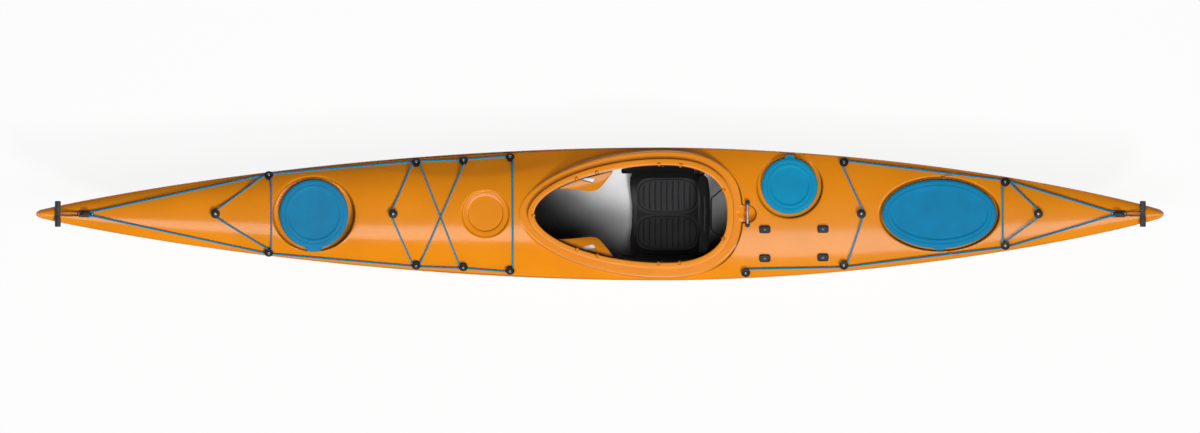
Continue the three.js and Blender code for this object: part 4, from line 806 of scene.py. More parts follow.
def toggle_cord(end):
    """Thin cord from the pad eye to the carrying toggle and back."""
    middle = toggle_middle(end)
    level = EYE_LEVEL + TOGGLE_CORD / 2
    back, half = TOGGLE_CORD + GAP, 0.0055 + TOGGLE_CORD / 2
    stop = middle.x - TOGGLE_WAIST - 2 * GAP
    side = [(stop, half, middle.z), (mix(stop, EYE_HALF, 0.5), half + 0.0012, mix(middle.z, level, 0.6)),
            (EYE_HALF, half, level + GAP), (back + TOGGLE_CORD, half, level), (back + 0.0018, half - 0.0012, level),
            (back, half - TOGGLE_CORD, level)]
    form = Form()
    form.tube([EYE_FRAMES[end] @ spot for spot in curve_through(mirrored(side), CORD_STEP)], TOGGLE_CORD / 2)
    return form.made(f"{end}_toggle_braid", grey_cord, body=f"{end}_toggle", slot="black_cord",
                     stands_for=f"{end}_toggle_cord", sharp=60)


def toggle(end):
    """Carrying toggle: a straight moulded bar with a waist for its cord and a fine rib near each end."""
    half = mm((0, 57.5), (9, 57.5), (11.2, 57.1), (12.8, 55.7), (13.45, 53.5), (13.45, 48.5), (12.9, 47.8),
              (12.9, 46.3), (13.45, 45.6), (13.5, 30), (13.2, 22), (12.4, 15.8), (11.2, 11.8), (10.6, 8.5), (10.5, 4))
    across = Matrix.Translation(toggle_middle(end)) @ Matrix.Rotation(-math.pi / 2, 4, "X")
    form = Form()
    form.turn([(radius, -height) for radius, height in half] + half[::-1], EYE_FRAMES[end] @ across, 36)
    return form.made(f"{end}_toggle_grip", dark_grip, body=f"{end}_toggle", slot="black_plastic",
                     stands_for=f"{end}_toggle", sharp=30)


def screw_head(form, matrix, radius, height, mark):
    """Button screw head with a hexagon socket."""
    profile = ((0, 0), (1, 0), (0.99, 0.35), (0.88, 0.7), (0.7, 0.92), (0.5, 1), (0.47, 0.97), (0.44, 0.4), (0, 0.38))
    form.turn([(radius * out, height * up) for out, up in profile], matrix, 24, mark)


def round_fitting_piece(name):
    """Moulded fitting: a foot, a stem that the cords run round, a cap, and the screw through it."""
    form = Form()
    form.turn(mm((0, -1.2), (15, -1.2), (15, 1.2), (14.2, 2.1), (10, 2.7), (7.9, 4.2), (7.5, 6.4), (7.5, 14.6),
                 (8.6, 16.4), (12, 16.8), (18.6, 16.8), (19.8, 17.4), (20, 18.3), (19.6, 19.4), (18.4, 20.1),
                 (17.2, 20.2), (16.6, 19.9), (15.8, 20.1), (11, 21.3), (8.8, 21.6), (8, 21.2), (7.7, 20.4),
                 (0, 20.3)), FITTING_FRAMES[name], 40)
    screw_head(form, FITTING_FRAMES[name] @ Matrix.Translation((0, 0, 0.0202)), 0.0066, 0.0030, 1)
    return form.made(f"{name}_moulding", [black, steel], slot="black_plastic", stands_for=name, sharp=36)


def pad_eye(end):
    """Pad eye: an oval foot plate with a raised loop, a wide cap over it and a bolt at each end."""
    seat = EYE_FRAMES[end]
    rings = []
    for inset, rise in mm((0.4, -2), (0, -0.8), (0, 1.8), (0.4, 2.7), (1.4, 3), (6, 3.5), (13.5, 3.6)):
        turn = np.linspace(-math.pi / 2, math.pi / 2, 17)
        cap_x, cap_y = EYE_HALF - EYE_WIDE + np.cos(turn) * (EYE_WIDE - inset), np.sin(turn) * (EYE_WIDE - inset)
        outline = np.vstack([np.column_stack([cap_x, cap_y]), np.column_stack([-cap_x, -cap_y])])
        rings.append(np.column_stack([outline, np.full(len(outline), rise)]))
    form = Form()
    form.solid(rings, seat)
    rise = 0.021 - EYE_LOOP - EYE_PLATE / 2
    arch = [(math.cos(turn) * 0.016, 0, EYE_PLATE / 2 + rise * max(math.sin(turn), 0) ** 0.7)
            for turn in np.linspace(0, math.pi, 33)]
    form.tube([seat @ Vector(spot) for spot in arch], EYE_LOOP, 18)
    form.solid([squared_ring(*sizes) for sizes in mm(
        (10, 5, 15.4), (18.5, 11.2, 16), (20.3, 12.8, 17), (20.5, 13, 18.4), (19.6, 12.2, 19.7), (16.5, 9.6, 20.6),
        (6, 3, 20.9))], seat)
    for side in (-1, 1):
        bolt = seat @ Matrix.Translation((side * 0.029, 0, EYE_PLATE))
        form.turn(mm((0, 0), (6.2, 0), (5.8, 1.2), (4.8, 1.2), (0, 0.8)), bolt, 24)
        screw_head(form, bolt @ Matrix.Translation((0, 0, 0.0005)), 0.0046, 0.0022, 1)
    return form.made(f"{end}_pad_eye_moulding", [black, steel], slot="black_plastic",
                     stands_for=f"{end}_pad_eye", sharp=36)


def security_bar():
    """Steel bar bent down at both ends into black boots, over its finger dish."""
    seat = standing_frame(BAR_X, 0.0, BAR_HALF)
    top, bend = 0.0125, 0.012
    corner = [(0, BAR_HALF - bend * (1 - math.sin(turn)), top - bend * (1 - math.cos(turn)))
              for turn in np.linspace(0, math.pi / 2, 9)]
    form = Form()
    form.tube([seat @ Vector(spot) for spot in mirrored([(0, BAR_HALF, 0.0)] + corner[::-1])], 0.0056, 24, mark=1)
    for end in (-1, 1):
        form.solid([squared_ring(size, size, rise, (0.45, 0.45), 40, end * (BAR_HALF - 0.001)) for size, rise in mm(
            (9.8, -1.5), (10, 3), (9.6, 10), (9, 15), (7.6, 16.8), (4, 17.4))], seat)
    return form.made("security_bar_rod", [boot_navy, bar_steel], slot="stainless",
                     stands_for="security_bar", sharp=40)


def strap_eye(name, x, across):
    """Strap eye: a rounded moulded block with a screw in a shallow ring."""
    half, wide = 0.025, 0.017
    seat = standing_frame(x, across * float(half_breadth(x)), half)
    form = Form()
    form.solid([squared_ring(half - inset, wide - inset, rise, (0.42, 0.5), 64) for inset, rise in mm(
        (0, -1.5), (0, 3), (0.3, 9), (1.2, 11), (2.6, 12.1), (4.6, 12.4), (9, 12.4), (9.5, 11.9), (10, 11.9),
        (10.5, 12.4))], seat)
    block = form.made(f"{name}_block", [black, steel], slot="black_plastic", stands_for=name, sharp=34)
    screw = Form()
    screw.turn(mm((0, 12.2), (5.2, 12.2), (5.2, 12.7), (4.8, 12.8), (0, 12.7)), seat, 28)
    screw_head(screw, seat @ Matrix.Translation((0, 0, 0.0127)), 0.0038, 0.0016, 0)
    return block, screw.made(f"{name}_screw", small_steel, slot="stainless", sharp=36)


deck_rigging()
for fitting_name in FITTING_SPOTS:
    round_fitting_piece(fitting_name)
for boat_end in ("bow", "stern"):
    pad_eye(boat_end)
    toggle(boat_end)
    toggle_cord(boat_end)


def ellipse(length, width, count=RING_POINTS):
    """Outline of an ellipse in a seat's own frame, at an offset."""
    turn = turns_of(count)
    return lambda offset: np.stack([np.cos(turn) * (length / 2 + offset), np.sin(turn) * (width / 2 + offset)], 1)


def seated(matrix, flat, height=0.0):
    """Points of a flat outline, at a height, carried into the boat's frame by a seat's matrix."""
    m = np.array(matrix)
    return np.column_stack([flat, np.full(len(flat), height)]) @ m[:3, :3].T + m[:3, 3]


# Steps of a recess's wall: place across the wall from the deck to its floor, and share of its depth.
WALL_STEPS = ((1, 0), (0.7, 0.02), (0.42, 0.1), (0.2, 0.28), (0, 0.5), (-0.2, 0.72), (-0.42, 0.9), (-0.7, 0.98),
              (-1, 1))
# Hatches: place along and share of the half breadth across, roll, size of the lid, rise over the sheer,
# margins of the recess at its ends and its sides, and width, reach and side of the pull tab.

HATCHES = {
    "bow": dict(x=-1.27, across=0.0, roll=0.0, size=(0.307, 0.307),
                rise=0.019, margin=(0.027, 0.012), tab=(0.080, 0.014, -1)),
    "day": dict(x=0.8415, across=0.452, roll=-0.07, size=(0.249, 0.249),
                rise=0.019, margin=(0.021, 0.017), tab=(0.050, 0.013, 1)),
    "stern": dict(x=1.507, across=0.0, roll=0.0, size=(0.509, 0.307),
                  rise=0.005, margin=(0.010, 0.011), tab=(0.058, 0.008, -1)),
}
for hatch in HATCHES.values():
    place_x = hatch["x"]
    level = float(sheer(place_x)) + hatch["rise"]
    hatch["frame"] = seat_frame(place_x, hatch["across"] * float(half_breadth(place_x)), level, hatch["roll"])
LID_OVERLAP, HATCH_WALL = 0.033, 0.008
COMPASS_X, COMPASS_RADIUS, COMPASS_INNER = -0.508, 0.104, 0.0775
BAR_X, BAR_DISH, BAR_HALF = 0.6545, 0.038, 0.050


def deck_z(points):
    return deck_top(points[:, 0], points[:, 1])


def recess(matrix, outline, reach):
    """Rings from the deck's surface down, or up, to a level floor inside the outline."""
    rings = []
    for across, share in WALL_STEPS:
        ring = seated(matrix, outline(reach * across))
        ring[:, 2] = mix(deck_z(ring), ring[:, 2], share)
        rings.append(ring)
    return rings


# Rings of the cockpit surround: offset, reach of the finger dish, share of the way from deck to surround.
SURROUND_STEPS = (
    (0.0730, 0.0430, 0.0), (0.0705, 0.0408, 0.02), (0.0690, 0.0394, 0.08), (0.0678, 0.0385, 0.2),
    (0.0665, 0.0376, 0.4), (0.0652, 0.0367, 0.6), (0.0640, 0.0358, 0.78), (0.0622, 0.0346, 0.9),
    (0.0595, 0.0325, 0.975), (0.0570, 0.0290, 1.0), (0.0560, 0.0235, 1.0), (0.0552, 0.0170, 1.0),
    (0.0546, 0.0095, 1.0), (0.0540, 0.0, 1.0), (0.0500, 0.0, 1.0), (0.0350, 0.0, 1.0), (0.0160, 0.0, 1.0),
    (0.0043, 0.0, 1.0), (0.0043, 0.0, 0.93),
)


# Painted shade on the walls of the recesses and behind the cockpit surround, where shadow falls: how dark each
# ring of a wall is, and the turn that each line is heaviest at, where it starts and how fast it fades away from
# there.
HATCH_PAINTED_SHADE = (0, 0, 0.1, 0.35, 0.7, 1, 0.9, 0.5, 0.15)
COCKPIT_PAINTED_SHADE = (0, 0.5, 1, 0.95, 0.7, 0.35, 0.12)
PAINTED_SHADE_SIDES = {"bow": (-0.40, 0.35, 0.45), "day": (-0.70, 0.25, 0.45), "stern": (-1.05, -0.1, 0.45),
          "cockpit": (-0.26, 0.6, 0.25)}
# Turns of the points round the cockpit, close together where the finger dish opens into its surround.
DISH_TURN = 0.43
COCKPIT_TURNS = np.concatenate([
    np.sort(np.concatenate([np.linspace(-DISH_TURN, DISH_TURN, 120), np.linspace(-0.37, -0.3, 24),
                            np.linspace(0.3, 0.37, 24)])),
    np.linspace(DISH_TURN, 2 * math.pi - DISH_TURN, 190)[1:-1]])


def cockpit_surround():
    """Rings from the deck to the inclined surround, which takes in the finger dish behind the cockpit."""
    turn = COCKPIT_TURNS
    level = float(deck_top(BAR_X, 0))
    rings = []
    for offset, reach, share in SURROUND_STEPS:
        x, y = cockpit_outline(offset, turn)
        if reach:
            behind = BAR_X + np.sqrt(np.maximum(reach**2 - y**2, 0))
            x = np.where((np.abs(y) < reach) & (np.cos(turn) > 0), np.maximum(x, behind), x)
        high = deck_top(x, np.sign(y) * np.minimum(np.abs(y), half_breadth(x)))
        from_dish = np.minimum(np.hypot(x - BAR_X, y) / BAR_DISH, 1)
        floor = mix(surround_top(x), level - 0.026, (1 - from_dish**2.4) ** 0.8)
        rings.append(np.column_stack([x, y, mix(high, floor, share)]))
    return rings


def deck_openings():
    """Every opening in the deck's skin: the rings that lead into it, and whether it has a floor."""
    found = []
    for hatch in HATCHES.values():
        (length, width), (end, side) = hatch["size"], hatch["margin"]
        outline, hole = ellipse(length + 2 * end, width + 2 * side), ellipse(length, width)
        rings = recess(hatch["frame"], outline, HATCH_WALL)
        for share in (0.35, 0.7, 1.0):
            rings.append(seated(hatch["frame"], mix(outline(-HATCH_WALL), hole(-LID_OVERLAP), share)))
        found.append((rings, False))
    found.append((cockpit_surround(), False))
    ring = ellipse(2 * COMPASS_RADIUS, 2 * COMPASS_RADIUS)
    sunk = seat_frame(COMPASS_X, 0, float(deck_top(COMPASS_X, 0))) @ Matrix.Translation((0, 0, -0.012))
    rings = recess(sunk, ring, 0.007)
    for offset, drop in mm((3, 0), (1.2, 0.6), (0, 2.2), (-0.8, 4.2), (-2.5, 6), (-30, 6.1), (-60, 6)):
        rings.append(seated(sunk, ring(COMPASS_INNER - COMPASS_RADIUS + offset), -drop))
    found.append((rings, True))
    for x, y, length, turn in ((1.547, 0.1755, 0.076, 0.14), (1.560, -0.1740, 0.070, -0.22)):
        found.append((drain(x, y, length, 0.013, turn), True))
    return found


def inside_loop(x, y, loop, margin):
    """Which points lie inside a closed loop, or within a margin of it."""
    hit, near = np.zeros(len(x), bool), np.full(len(x), np.inf)
    for (ax, ay), (bx, by) in zip(loop[:, :2], np.roll(loop, -1, 0)[:, :2]):
        crosses = (ay > y) != (by > y)
        with np.errstate(divide="ignore", invalid="ignore"):
            hit ^= crosses & (x < (bx - ax) * (y - ay) / (by - ay) + ax)
        near = np.minimum(near, (x - ax) ** 2 + (y - ay) ** 2)
    return hit | (near < margin**2)


def mark_painted_shade(deck, openings):
    """Marks painted shade on the walls round the recesses and behind the cockpit, heaviest on one side, for the
    gelcoat.
    """
    marked = []
    for (name, (heavy, start, fade)), (rings, _) in zip(PAINTED_SHADE_SIDES.items(), openings):
        turn, darks = (COCKPIT_TURNS, COCKPIT_PAINTED_SHADE) if name == "cockpit" else (turns_of(RING_POINTS), HATCH_PAINTED_SHADE)
        weight = np.maximum(np.clip((np.cos(turn - heavy) - start) / fade, 0, 1), 0.18)
        for ring, dark in zip(rings, darks):
            marked += [(spot, dark * share) for spot, share in zip(ring, weight)]
    tree = kdtree.KDTree(len(marked))
    for number, (spot, _) in enumerate(marked):
        tree.insert(spot, number)
    tree.balance()
    found = [tree.find(vert.co) for vert in deck.data.vertices]
    paint(deck, "joint", [marked[near][1] if away < 1e-4 else 0.0 for _, near, away in found])


def drain(x, y, length, width, turn):
    """Rings of a shallow drain groove that follows the deck's slope."""
    run = Matrix.Translation((x, y, 0)) @ Matrix.Rotation(turn, 4, "Z")
    outline = ellipse(length, width, 40)
    rings = []
    for offset, depth in mm((0, 0), (-1.2, 0.8), (-2.4, 2.4), (-3.6, 3.6), (-4.8, 4)):
        ring = seated(run, outline(offset))
        ring[:, 2] = deck_z(ring) - depth
        rings.append(ring)
    return rings


def stations(count, tip_count=7):
    """Places along the boat, closer together round its tips."""
    bow = TIP_ROUNDING * (1 - np.cos(np.linspace(0, math.pi / 2, tip_count)[:-1]))
    stern = TIP_ROUNDING * (1 - np.cos(np.linspace(math.pi / 2, 0, tip_count)[1:]))
    middle = np.linspace(BOW + TIP_ROUNDING, STERN - TIP_ROUNDING, count)
    return np.concatenate([BOW + bow, middle, STERN - stern])


def deck_shell():
    """Deck: one triangulated sheet with the openings' rings joined into it, given its wall."""
    openings = deck_openings()
    loops = [rings[0] for rings, _ in openings]
    rows = stations(356)
    shares = np.concatenate([np.linspace(0, 1, 17), 1 + np.linspace(0, 1, 9)[1:]])
    line = crease(rows)[:, None]
    across = np.where(shares <= 1, shares * line, line + (shares - 1) * (1 - line))
    x = np.repeat(rows[:, None], len(shares), 1)
    y = across * half_breadth(rows)[:, None]
    inner = np.vstack([np.column_stack([x[:, :-1].ravel(), y[:, :-1].ravel()]),
                       np.column_stack([x[:, 1:-1].ravel(), -y[:, 1:-1].ravel()])])
    keep = np.ones(len(inner), bool)
    for loop in loops:
        keep &= ~inside_loop(*inner.T, loop, 0.0045)
    flat, edges = [], []
    sides = np.column_stack([rows, y[:, -1]])
    for loop in [np.vstack([sides, sides[::-1] * (1, -1)])] + loops:
        first, count = len(flat), len(loop)
        flat += [Vector(spot[:2]) for spot in loop]
        edges += [(first + i, first + (i + 1) % count) for i in range(count)]
    flat += [Vector(spot) for spot in inner[keep]]
    spots, _, tris, *_ = geometry.delaunay_2d_cdt(flat, edges, [], 0, 1e-6)
    spots, tris = np.array([(spot.x, spot.y) for spot in spots]), np.array(tris)
    middle_x, middle_y = spots[tris].mean(1).T
    good = np.abs(middle_y) < np.interp(middle_x, rows, y[:, -1])
    for loop in loops:
        good &= ~inside_loop(middle_x, middle_y, loop, 0)
    form = Form()
    form.add(np.column_stack([spots, deck_top(*spots.T)]))
    for tri in tris[good]:
        form.face(tuple(int(i) for i in tri))
    for row in (0, -1):
        end = np.concatenate([-y[row, ::-1], y[row, 1:]])
        form.face(tuple(form.add([(rows[row], side, float(deck_top(rows[row], side))) for side in end])))
    for rings, floored in openings:
        rows_in = form.loft(rings)
        if floored:
            form.face(tuple(rows_in[-1]))
    deck = form.made("deck_moulding", [orange, inside_grey], slot="orange_gelcoat", stands_for="deck_shell",
                     merge=2e-5)
    mark_painted_shade(deck, openings)
    return thicken(deck, WALL, 1, 1)


def hull_shell():
    """Hull: sections from sheer to sheer round a narrow flat keel, closed at the tips."""
    turn = np.concatenate([np.linspace(0, 0.5, 9)[:-1] ** 1.3, np.linspace(0.5**1.3, 1, 17)]) * math.pi / 2
    rings = []
    for x in stations(300):
        half, low, top = float(half_breadth(x)), float(keel(x)), float(sheer(x))
        flat = half * 0.2
        power = 2 / mix(2.6, 1.55, float(np.clip(end_share(x), 0, 1)) ** 1.4)
        y = flat + (half - flat) * np.maximum(np.cos(turn), 0) ** power
        z = top - (top - low) * np.sin(turn) ** power
        y[-1] = flat
        side = np.column_stack([np.full(len(y), x), y, z])
        keel_points = [[x, flat * share, low] for share in (0.5, 0, -0.5)]
        rings.append(np.vstack([side, keel_points, side[::-1] * (1, -1, 1)]))
    form = Form()
    rows = form.loft(rings, closed=False)
    for row in (rows[0], rows[-1]):
        form.face(tuple(row))
    hull = form.made("hull_moulding", [orange, inside_grey], slot="orange_gelcoat", stands_for="hull_shell", sharp=40)
    return thicken(hull, WALL, 1, 1)


def seam_tape():
    """Tape over the seam between hull and deck, swept round the whole boat."""
    rows = stations(240, 9)
    side = np.column_stack([rows, half_breadth(rows)])
    loop = np.vstack([side, side[::-1] * (1, -1)])
    along = np.roll(loop, -1, 0) - np.roll(loop, 1, 0)
    along /= np.linalg.norm(along, axis=1)[:, None]
    out = np.column_stack([-along[:, 1], along[:, 0]])
    top = np.append(sheer(rows), sheer(rows)[::-1])
    edge = mm((0.3, -12.6), (1.3, -12.2), (1.9, -10.8), (1.9, 0.8), (1.3, 2.1), (0.3, 2.4))
    form = Form()
    form.loft([[(*(spot + push * offset), high + rise) for offset, rise in edge]
               for spot, push, high in zip(loop, out, top)], run_closed=True)
    return form.made("seam_tape_band", seam_look, slot="seam_tape", stands_for="seam_band", sharp=50)


deck_shell()
hull_shell()
seam_tape()


def cockpit_rim():
    """Cockpit rim: a riser and a rolled lip that the spray cover's edge hooks under."""
    offsets, rises = np.array(mm(
        (0, -20), (0, 12.8), (0.4, 15.5), (1.6, 17.6), (3.6, 18.7), (7, 19), (14.5, 18.6), (22, 18.9), (25.5, 18.6),
        (27.6, 17.4), (28.8, 15.5), (29, 13.2), (28.8, 11.2), (28, 10.1), (26.9, 10.2), (25.8, 11.8), (23.8, 13.6),
        (21, 14), (8.5, 14), (5.6, 13.3), (4.4, 11.6), (4, 9), (4, -20))).T
    rings = []
    for turn in turns_of(192):
        x, y = cockpit_outline(offsets, turn)
        rings.append(np.column_stack([x, y, surround_top(x) + rises]))
    form = Form()
    form.loft(rings, run_closed=True)
    return form.made("cockpit_rim_lip", rim_orange, slot="orange_gelcoat", stands_for="cockpit_coaming", sharp=34)


def rim_bolt(name, px, py):
    """Small button bolt at the inner edge of the cockpit rim, nearest to its place in the picture."""
    near_x, near_y = cockpit_outline(0.0035, np.linspace(0, 2 * math.pi, 1440, endpoint=False))
    away = (near_x - (px - PICTURE_X) * PIXEL) ** 2 + (near_y - (PICTURE_Y - py) * PIXEL) ** 2
    x, y = float(near_x[np.argmin(away)]), float(near_y[np.argmin(away)])
    out = Vector((x - COCKPIT_X, y * 1.6, 0)).normalized()
    seat = frame_of(x, y, float(surround_top(x)) + 0.0165, (1, 0, 0), (Vector((0, 0, 1)) - out * 0.45).normalized())
    form = Form()
    # Dark washer under the head: painted shadow round the bolt.
    form.turn(mm((0, -1), (9.5, -1), (9.8, 0.4), (9.2, 0.9), (0, 0.9)), seat, 28, 1)
    form.turn(mm((0, 0.7), (7.8, 0.7), (8, 1.6), (7.2, 3), (5, 4.1), (2.6, 4.5), (2.3, 3.6), (0, 3.4)), seat, 28)
    return form.made(name, [rim_bolt_look, bolt_shadow], slot="orange_gelcoat", sharp=40)


def hatch_rim(name):
    """Bonded ring whose bead the rubber lid snaps over."""
    hatch = HATCHES[name]
    outline = ellipse(*hatch["size"])
    levels = [np.column_stack([outline(offset - LID_OVERLAP), np.full(RING_POINTS, rise)]) for offset, rise in mm(
        (0, 0.3), (26, 0.3), (26, 2.8), (25.5, 3.3), (4.5, 3.3), (4, 3.8), (4, 12.5), (4.5, 13), (7.4, 13), (8, 13.8),
        (8, 16.6), (6.8, 18), (1.2, 18), (0, 16.8))]
    form = Form()
    form.loft(np.stack(levels, 1), hatch["frame"], run_closed=True)
    return form.made(f"{name}_hatch_ring", black, slot="black_plastic", stands_for=f"{name}_hatch_rim", sharp=34)


def hatch_lid(name):
    """Rubber lid: a flat panel inside a raised ring, a rolled edge and a pull tab."""
    hatch = HATCHES[name]
    (length, width), (tab_width, tab_reach, tab_side) = hatch["size"], hatch["tab"]
    outline = ellipse(length, width)
    under = 0.0183
    middle = -min(length, width) / 4
    profile = [(middle * 1.7, 0.0229), (middle * 1.3, 0.0228), (middle, 0.0227)]
    profile += mm((-45.5, 22.5), (-42.5, 22.6), (-40.5, 23.4), (-38.5, 24.8), (-36, 25.4), (-31, 25.5), (-26, 25.4),
                  (-24.5, 25), (-23.5, 24.4), (-22.5, 25), (-21, 25.4), (-14, 25.4), (-8, 25), (-4.5, 24.1),
                  (-1.9, 22.1), (-0.4, 18.9), (0, 15), (-0.3, 6), (0, 3.5), (-0.8, 1.4), (-2.2, 1), (-3.5, 1.4),
                  (-4, 3), (-4, 16.5), (-5.5, 18.3), (-20, 18.3))
    profile += [(middle, under), (middle * 1.7, under)]
    form = Form()
    form.solid([np.column_stack([outline(offset), np.full(RING_POINTS, rise)]) for offset, rise in profile],
               hatch["frame"])
    tab_rows = []
    for share in (0, 0.35, 0.7, 0.9, 1):
        half = mix(tab_width / 2, tab_width / 3, share**0.8) * (1 if share < 0.95 else 0.93)
        y = mix(width / 2 - 0.004, width / 2 + tab_reach, share) * tab_side
        low = under - 0.0006 - 0.0016 * share**2
        edge = 0.0009 if share < 1 else 0.0016
        dip = 0.0007 if 0.3 < share < 0.95 else 0
        right = [(half, 0.0010), (half, 0.0032), (half - edge, 0.0042), (half * 0.6, 0.0042),
                 (half * 0.2, 0.0042 - dip)]
        ring = [(half - edge, 0.0)] + right + [(-x, z) for x, z in right[::-1]] + [(edge - half, 0.0)]
        tab_rows.append([(x, y, low + z) for x, z in ring])
    form.solid(tab_rows, hatch["frame"])
    return form.made(f"{name}_lid_cap", lid_looks[name], body=f"{name}_hatch_lid", slot=f"{name}_lid_rubber",
                     stands_for=f"{name}_hatch_lid", sharp=42)


cockpit_rim()
# Places of the rim's bolts in the picture.
RIM_BOLTS = ((532.4, 215.5), (576.4, 177.4), (597.1, 172.4), (576.4, 251.2), (597.1, 257.0), (659.0, 164.1),
             (680.5, 164.5), (658.6, 264.8), (679.3, 264.8), (724.5, 189.8), (724.1, 239.1))
for number, (px, py) in enumerate(RIM_BOLTS, 1):
    rim_bolt(f"rim_bolt_{number}", px, py)
for hatch_name in HATCHES:
    hatch_rim(hatch_name)
    hatch_lid(hatch_name)


security_bar()
for row, eye_x, inner, outer in (("front", 0.7315, -0.248, -0.702), ("rear", 0.9895, -0.258, -0.735)):
    strap_eye(f"strap_eye_{row}_inner", eye_x, inner)
    strap_eye(f"strap_eye_{row}_outer", eye_x, outer)


# Seat, its pad's two lobes, back band and thigh braces.
SEAT_FRONT, SEAT_LENGTH, SEAT_HALF, SEAT_FLOOR = 0.133, 0.345, 0.183, 0.026
SEAT_REAR = SEAT_FRONT + SEAT_LENGTH
PAD_LENGTH, PAD_HALF, PAD_CHANNELS = 0.272, 0.160, 9
PAD_MIDDLE = 0.163 + PAD_LENGTH / 2
LOBE_MIDDLE, LOBE_HALF = 0.0818, 0.0735
BAND_X, BAND_Z, BAND_HALF, BAND_HEIGHT, BAND_DROP = 0.453, 0.093, 0.172, 0.150, 0.010
BRACE_FRONT, BRACE_LENGTH, BRACE_REACH = -0.184, 0.240, 0.072
BRACE_WINDOW = ((-0.0825, 0.1475), (-0.0665, 0.1590), (-0.0165, 0.1555), (-0.0305, 0.1355))
# Reach of a brace at shares of its length.
BRACE_TABLE = ((0, 0.06), (0.22, 0.42), (0.45, 0.78), (0.64, 1), (0.76, 0.93), (0.9, 0.5), (1, 0.12))


def opening_half(x, offset=-GAP):
    """Half width of the cockpit opening at a place along it."""
    reach, power = (FRONT_REACH, FRONT_POWER) if x < COCKPIT_X else (REAR_REACH, REAR_POWER)
    along = min(abs(x - COCKPIT_X) / (reach + offset), 1)
    return (COCKPIT_WIDTH / 2 + offset) * (1 - along**power) ** (1 / power)


def pan_height(x, y):
    """Height of the seat pan: raised at its sides and towards its front."""
    to_front = np.maximum((SEAT_REAR - x) / SEAT_LENGTH, 0)
    return SEAT_FLOOR + 0.058 * (np.abs(y) / SEAT_HALF) ** 3 + 0.016 * to_front**2.5


def smooth_table(table, places):
    """Values of a table on a smooth curve through its rows."""
    spots = curve_through([(place, value, 0) for place, value in table], 0.01)
    return np.interp(places, [spot.x for spot in spots], [spot.y for spot in spots])


def thigh_brace(side):
    """Thigh brace: a curved plate under the rim's edge that reaches in over the thigh, with a window through it."""
    name = f"thigh_brace_{side_name(side)}"
    shares = np.linspace(0, 1, 61)
    rings = []
    for share, wide in zip(shares, smooth_table(BRACE_TABLE, shares)):
        x = BRACE_FRONT + share * BRACE_LENGTH
        out, base = opening_half(x) - 0.0022, float(surround_top(x))
        across = np.linspace(0, 1, 11)
        y = out - across * (BRACE_REACH * wide - 0.002)
        z = base - 0.0050 - 0.016 * (across * wide) ** 2 - 0.0012 * across**8
        lip = [(out - inward, base + rise) for inward, rise in mm((0, 10), (0.8, 11.2), (2.8, 10.8), (3.4, 9))]
        top = lip + [(out - 0.0042, z[0] + 0.0026), *zip(y[1:], z[1:]), (y[-1] - 0.0018, z[-1] - 0.0022)]
        rings.append([(x, side * a, b) for a, b in top + [*zip(y[::-1], z[::-1] - 0.0046)]])
    form = Form()
    form.solid(rings)
    count = len(rings[0])
    for k, corners in enumerate(form.faces):
        if len(corners) == 4 and all(spot % count < 6 for spot in corners):
            form.marks[k] = 1
    plate = form.made(f"{name}_plate", [brace_orange, seat_black], slot="orange_gelcoat", stands_for=name, sharp=40)
    corners = [Vector(corner) for corner in BRACE_WINDOW]
    outline = []
    for before, spot, after in zip(corners[-1:] + corners, corners, corners[1:] + corners[:1]):
        start, end = (spot + (other - spot).normalized() * 0.004 for other in (before, after))
        outline += [start.lerp(spot, t).lerp(spot.lerp(end, t), t) for t in np.linspace(0, 1, 6)]
    cutter = Form()
    cutter.solid([[(spot.x, side * spot.y, z) for spot in outline] for z in (0.2, 0.32)])
    carve(plate, cutter)
    middle = sum(corners, Vector((0, 0))) / len(corners)
    level = float(surround_top(middle.x)) - 0.0215
    pad, pad_rings = Form(), []
    for grow, rise in ((1.10, 0), (1.16, 0.001), (1.16, 0.004), (1.08, 0.005)):
        grown = [(spot - middle) * grow + middle for spot in outline]
        pad_rings.append([(spot.x, side * spot.y, level + rise) for spot in grown])
    pad.solid(pad_rings)
    pad.made(f"{name}_foam", pale_foam, slot="seat_fabric", sharp=50)
    return plate


def seat_pan():
    """Seat pan: a shallow bucket with a waved front edge and a rolled rim."""
    rings = []
    for a in np.linspace(0, 1, 45):
        row = []
        for b in np.sin(np.linspace(-1, 1, 65) * math.pi / 2):
            wave = 0.012 * math.cos(b * math.pi * 0.66) ** 2 + 0.030 * max(abs(b) - 0.8, 0) ** 1.6 / 0.2**0.6
            front = SEAT_FRONT + wave
            rear = SEAT_REAR - 0.004 - 0.02 * max(abs(b) - 0.85, 0) / 0.15
            x, y = mix(front, rear, a), b * SEAT_HALF
            roll = 0.004 * max(1 - a / 0.05, 0) ** 2 + 0.002 * max(abs(b) - 0.97, 0) / 0.03
            row.append((x, y, float(pan_height(x, y)) - roll))
        rings.append(row + [(x, y, z - 0.0038) for x, y, z in row[::-1]])
    form = Form()
    form.solid(rings)
    return form.made("seat_pan", seat_black, slot="black_plastic", stands_for="seat_shell", sharp=40)


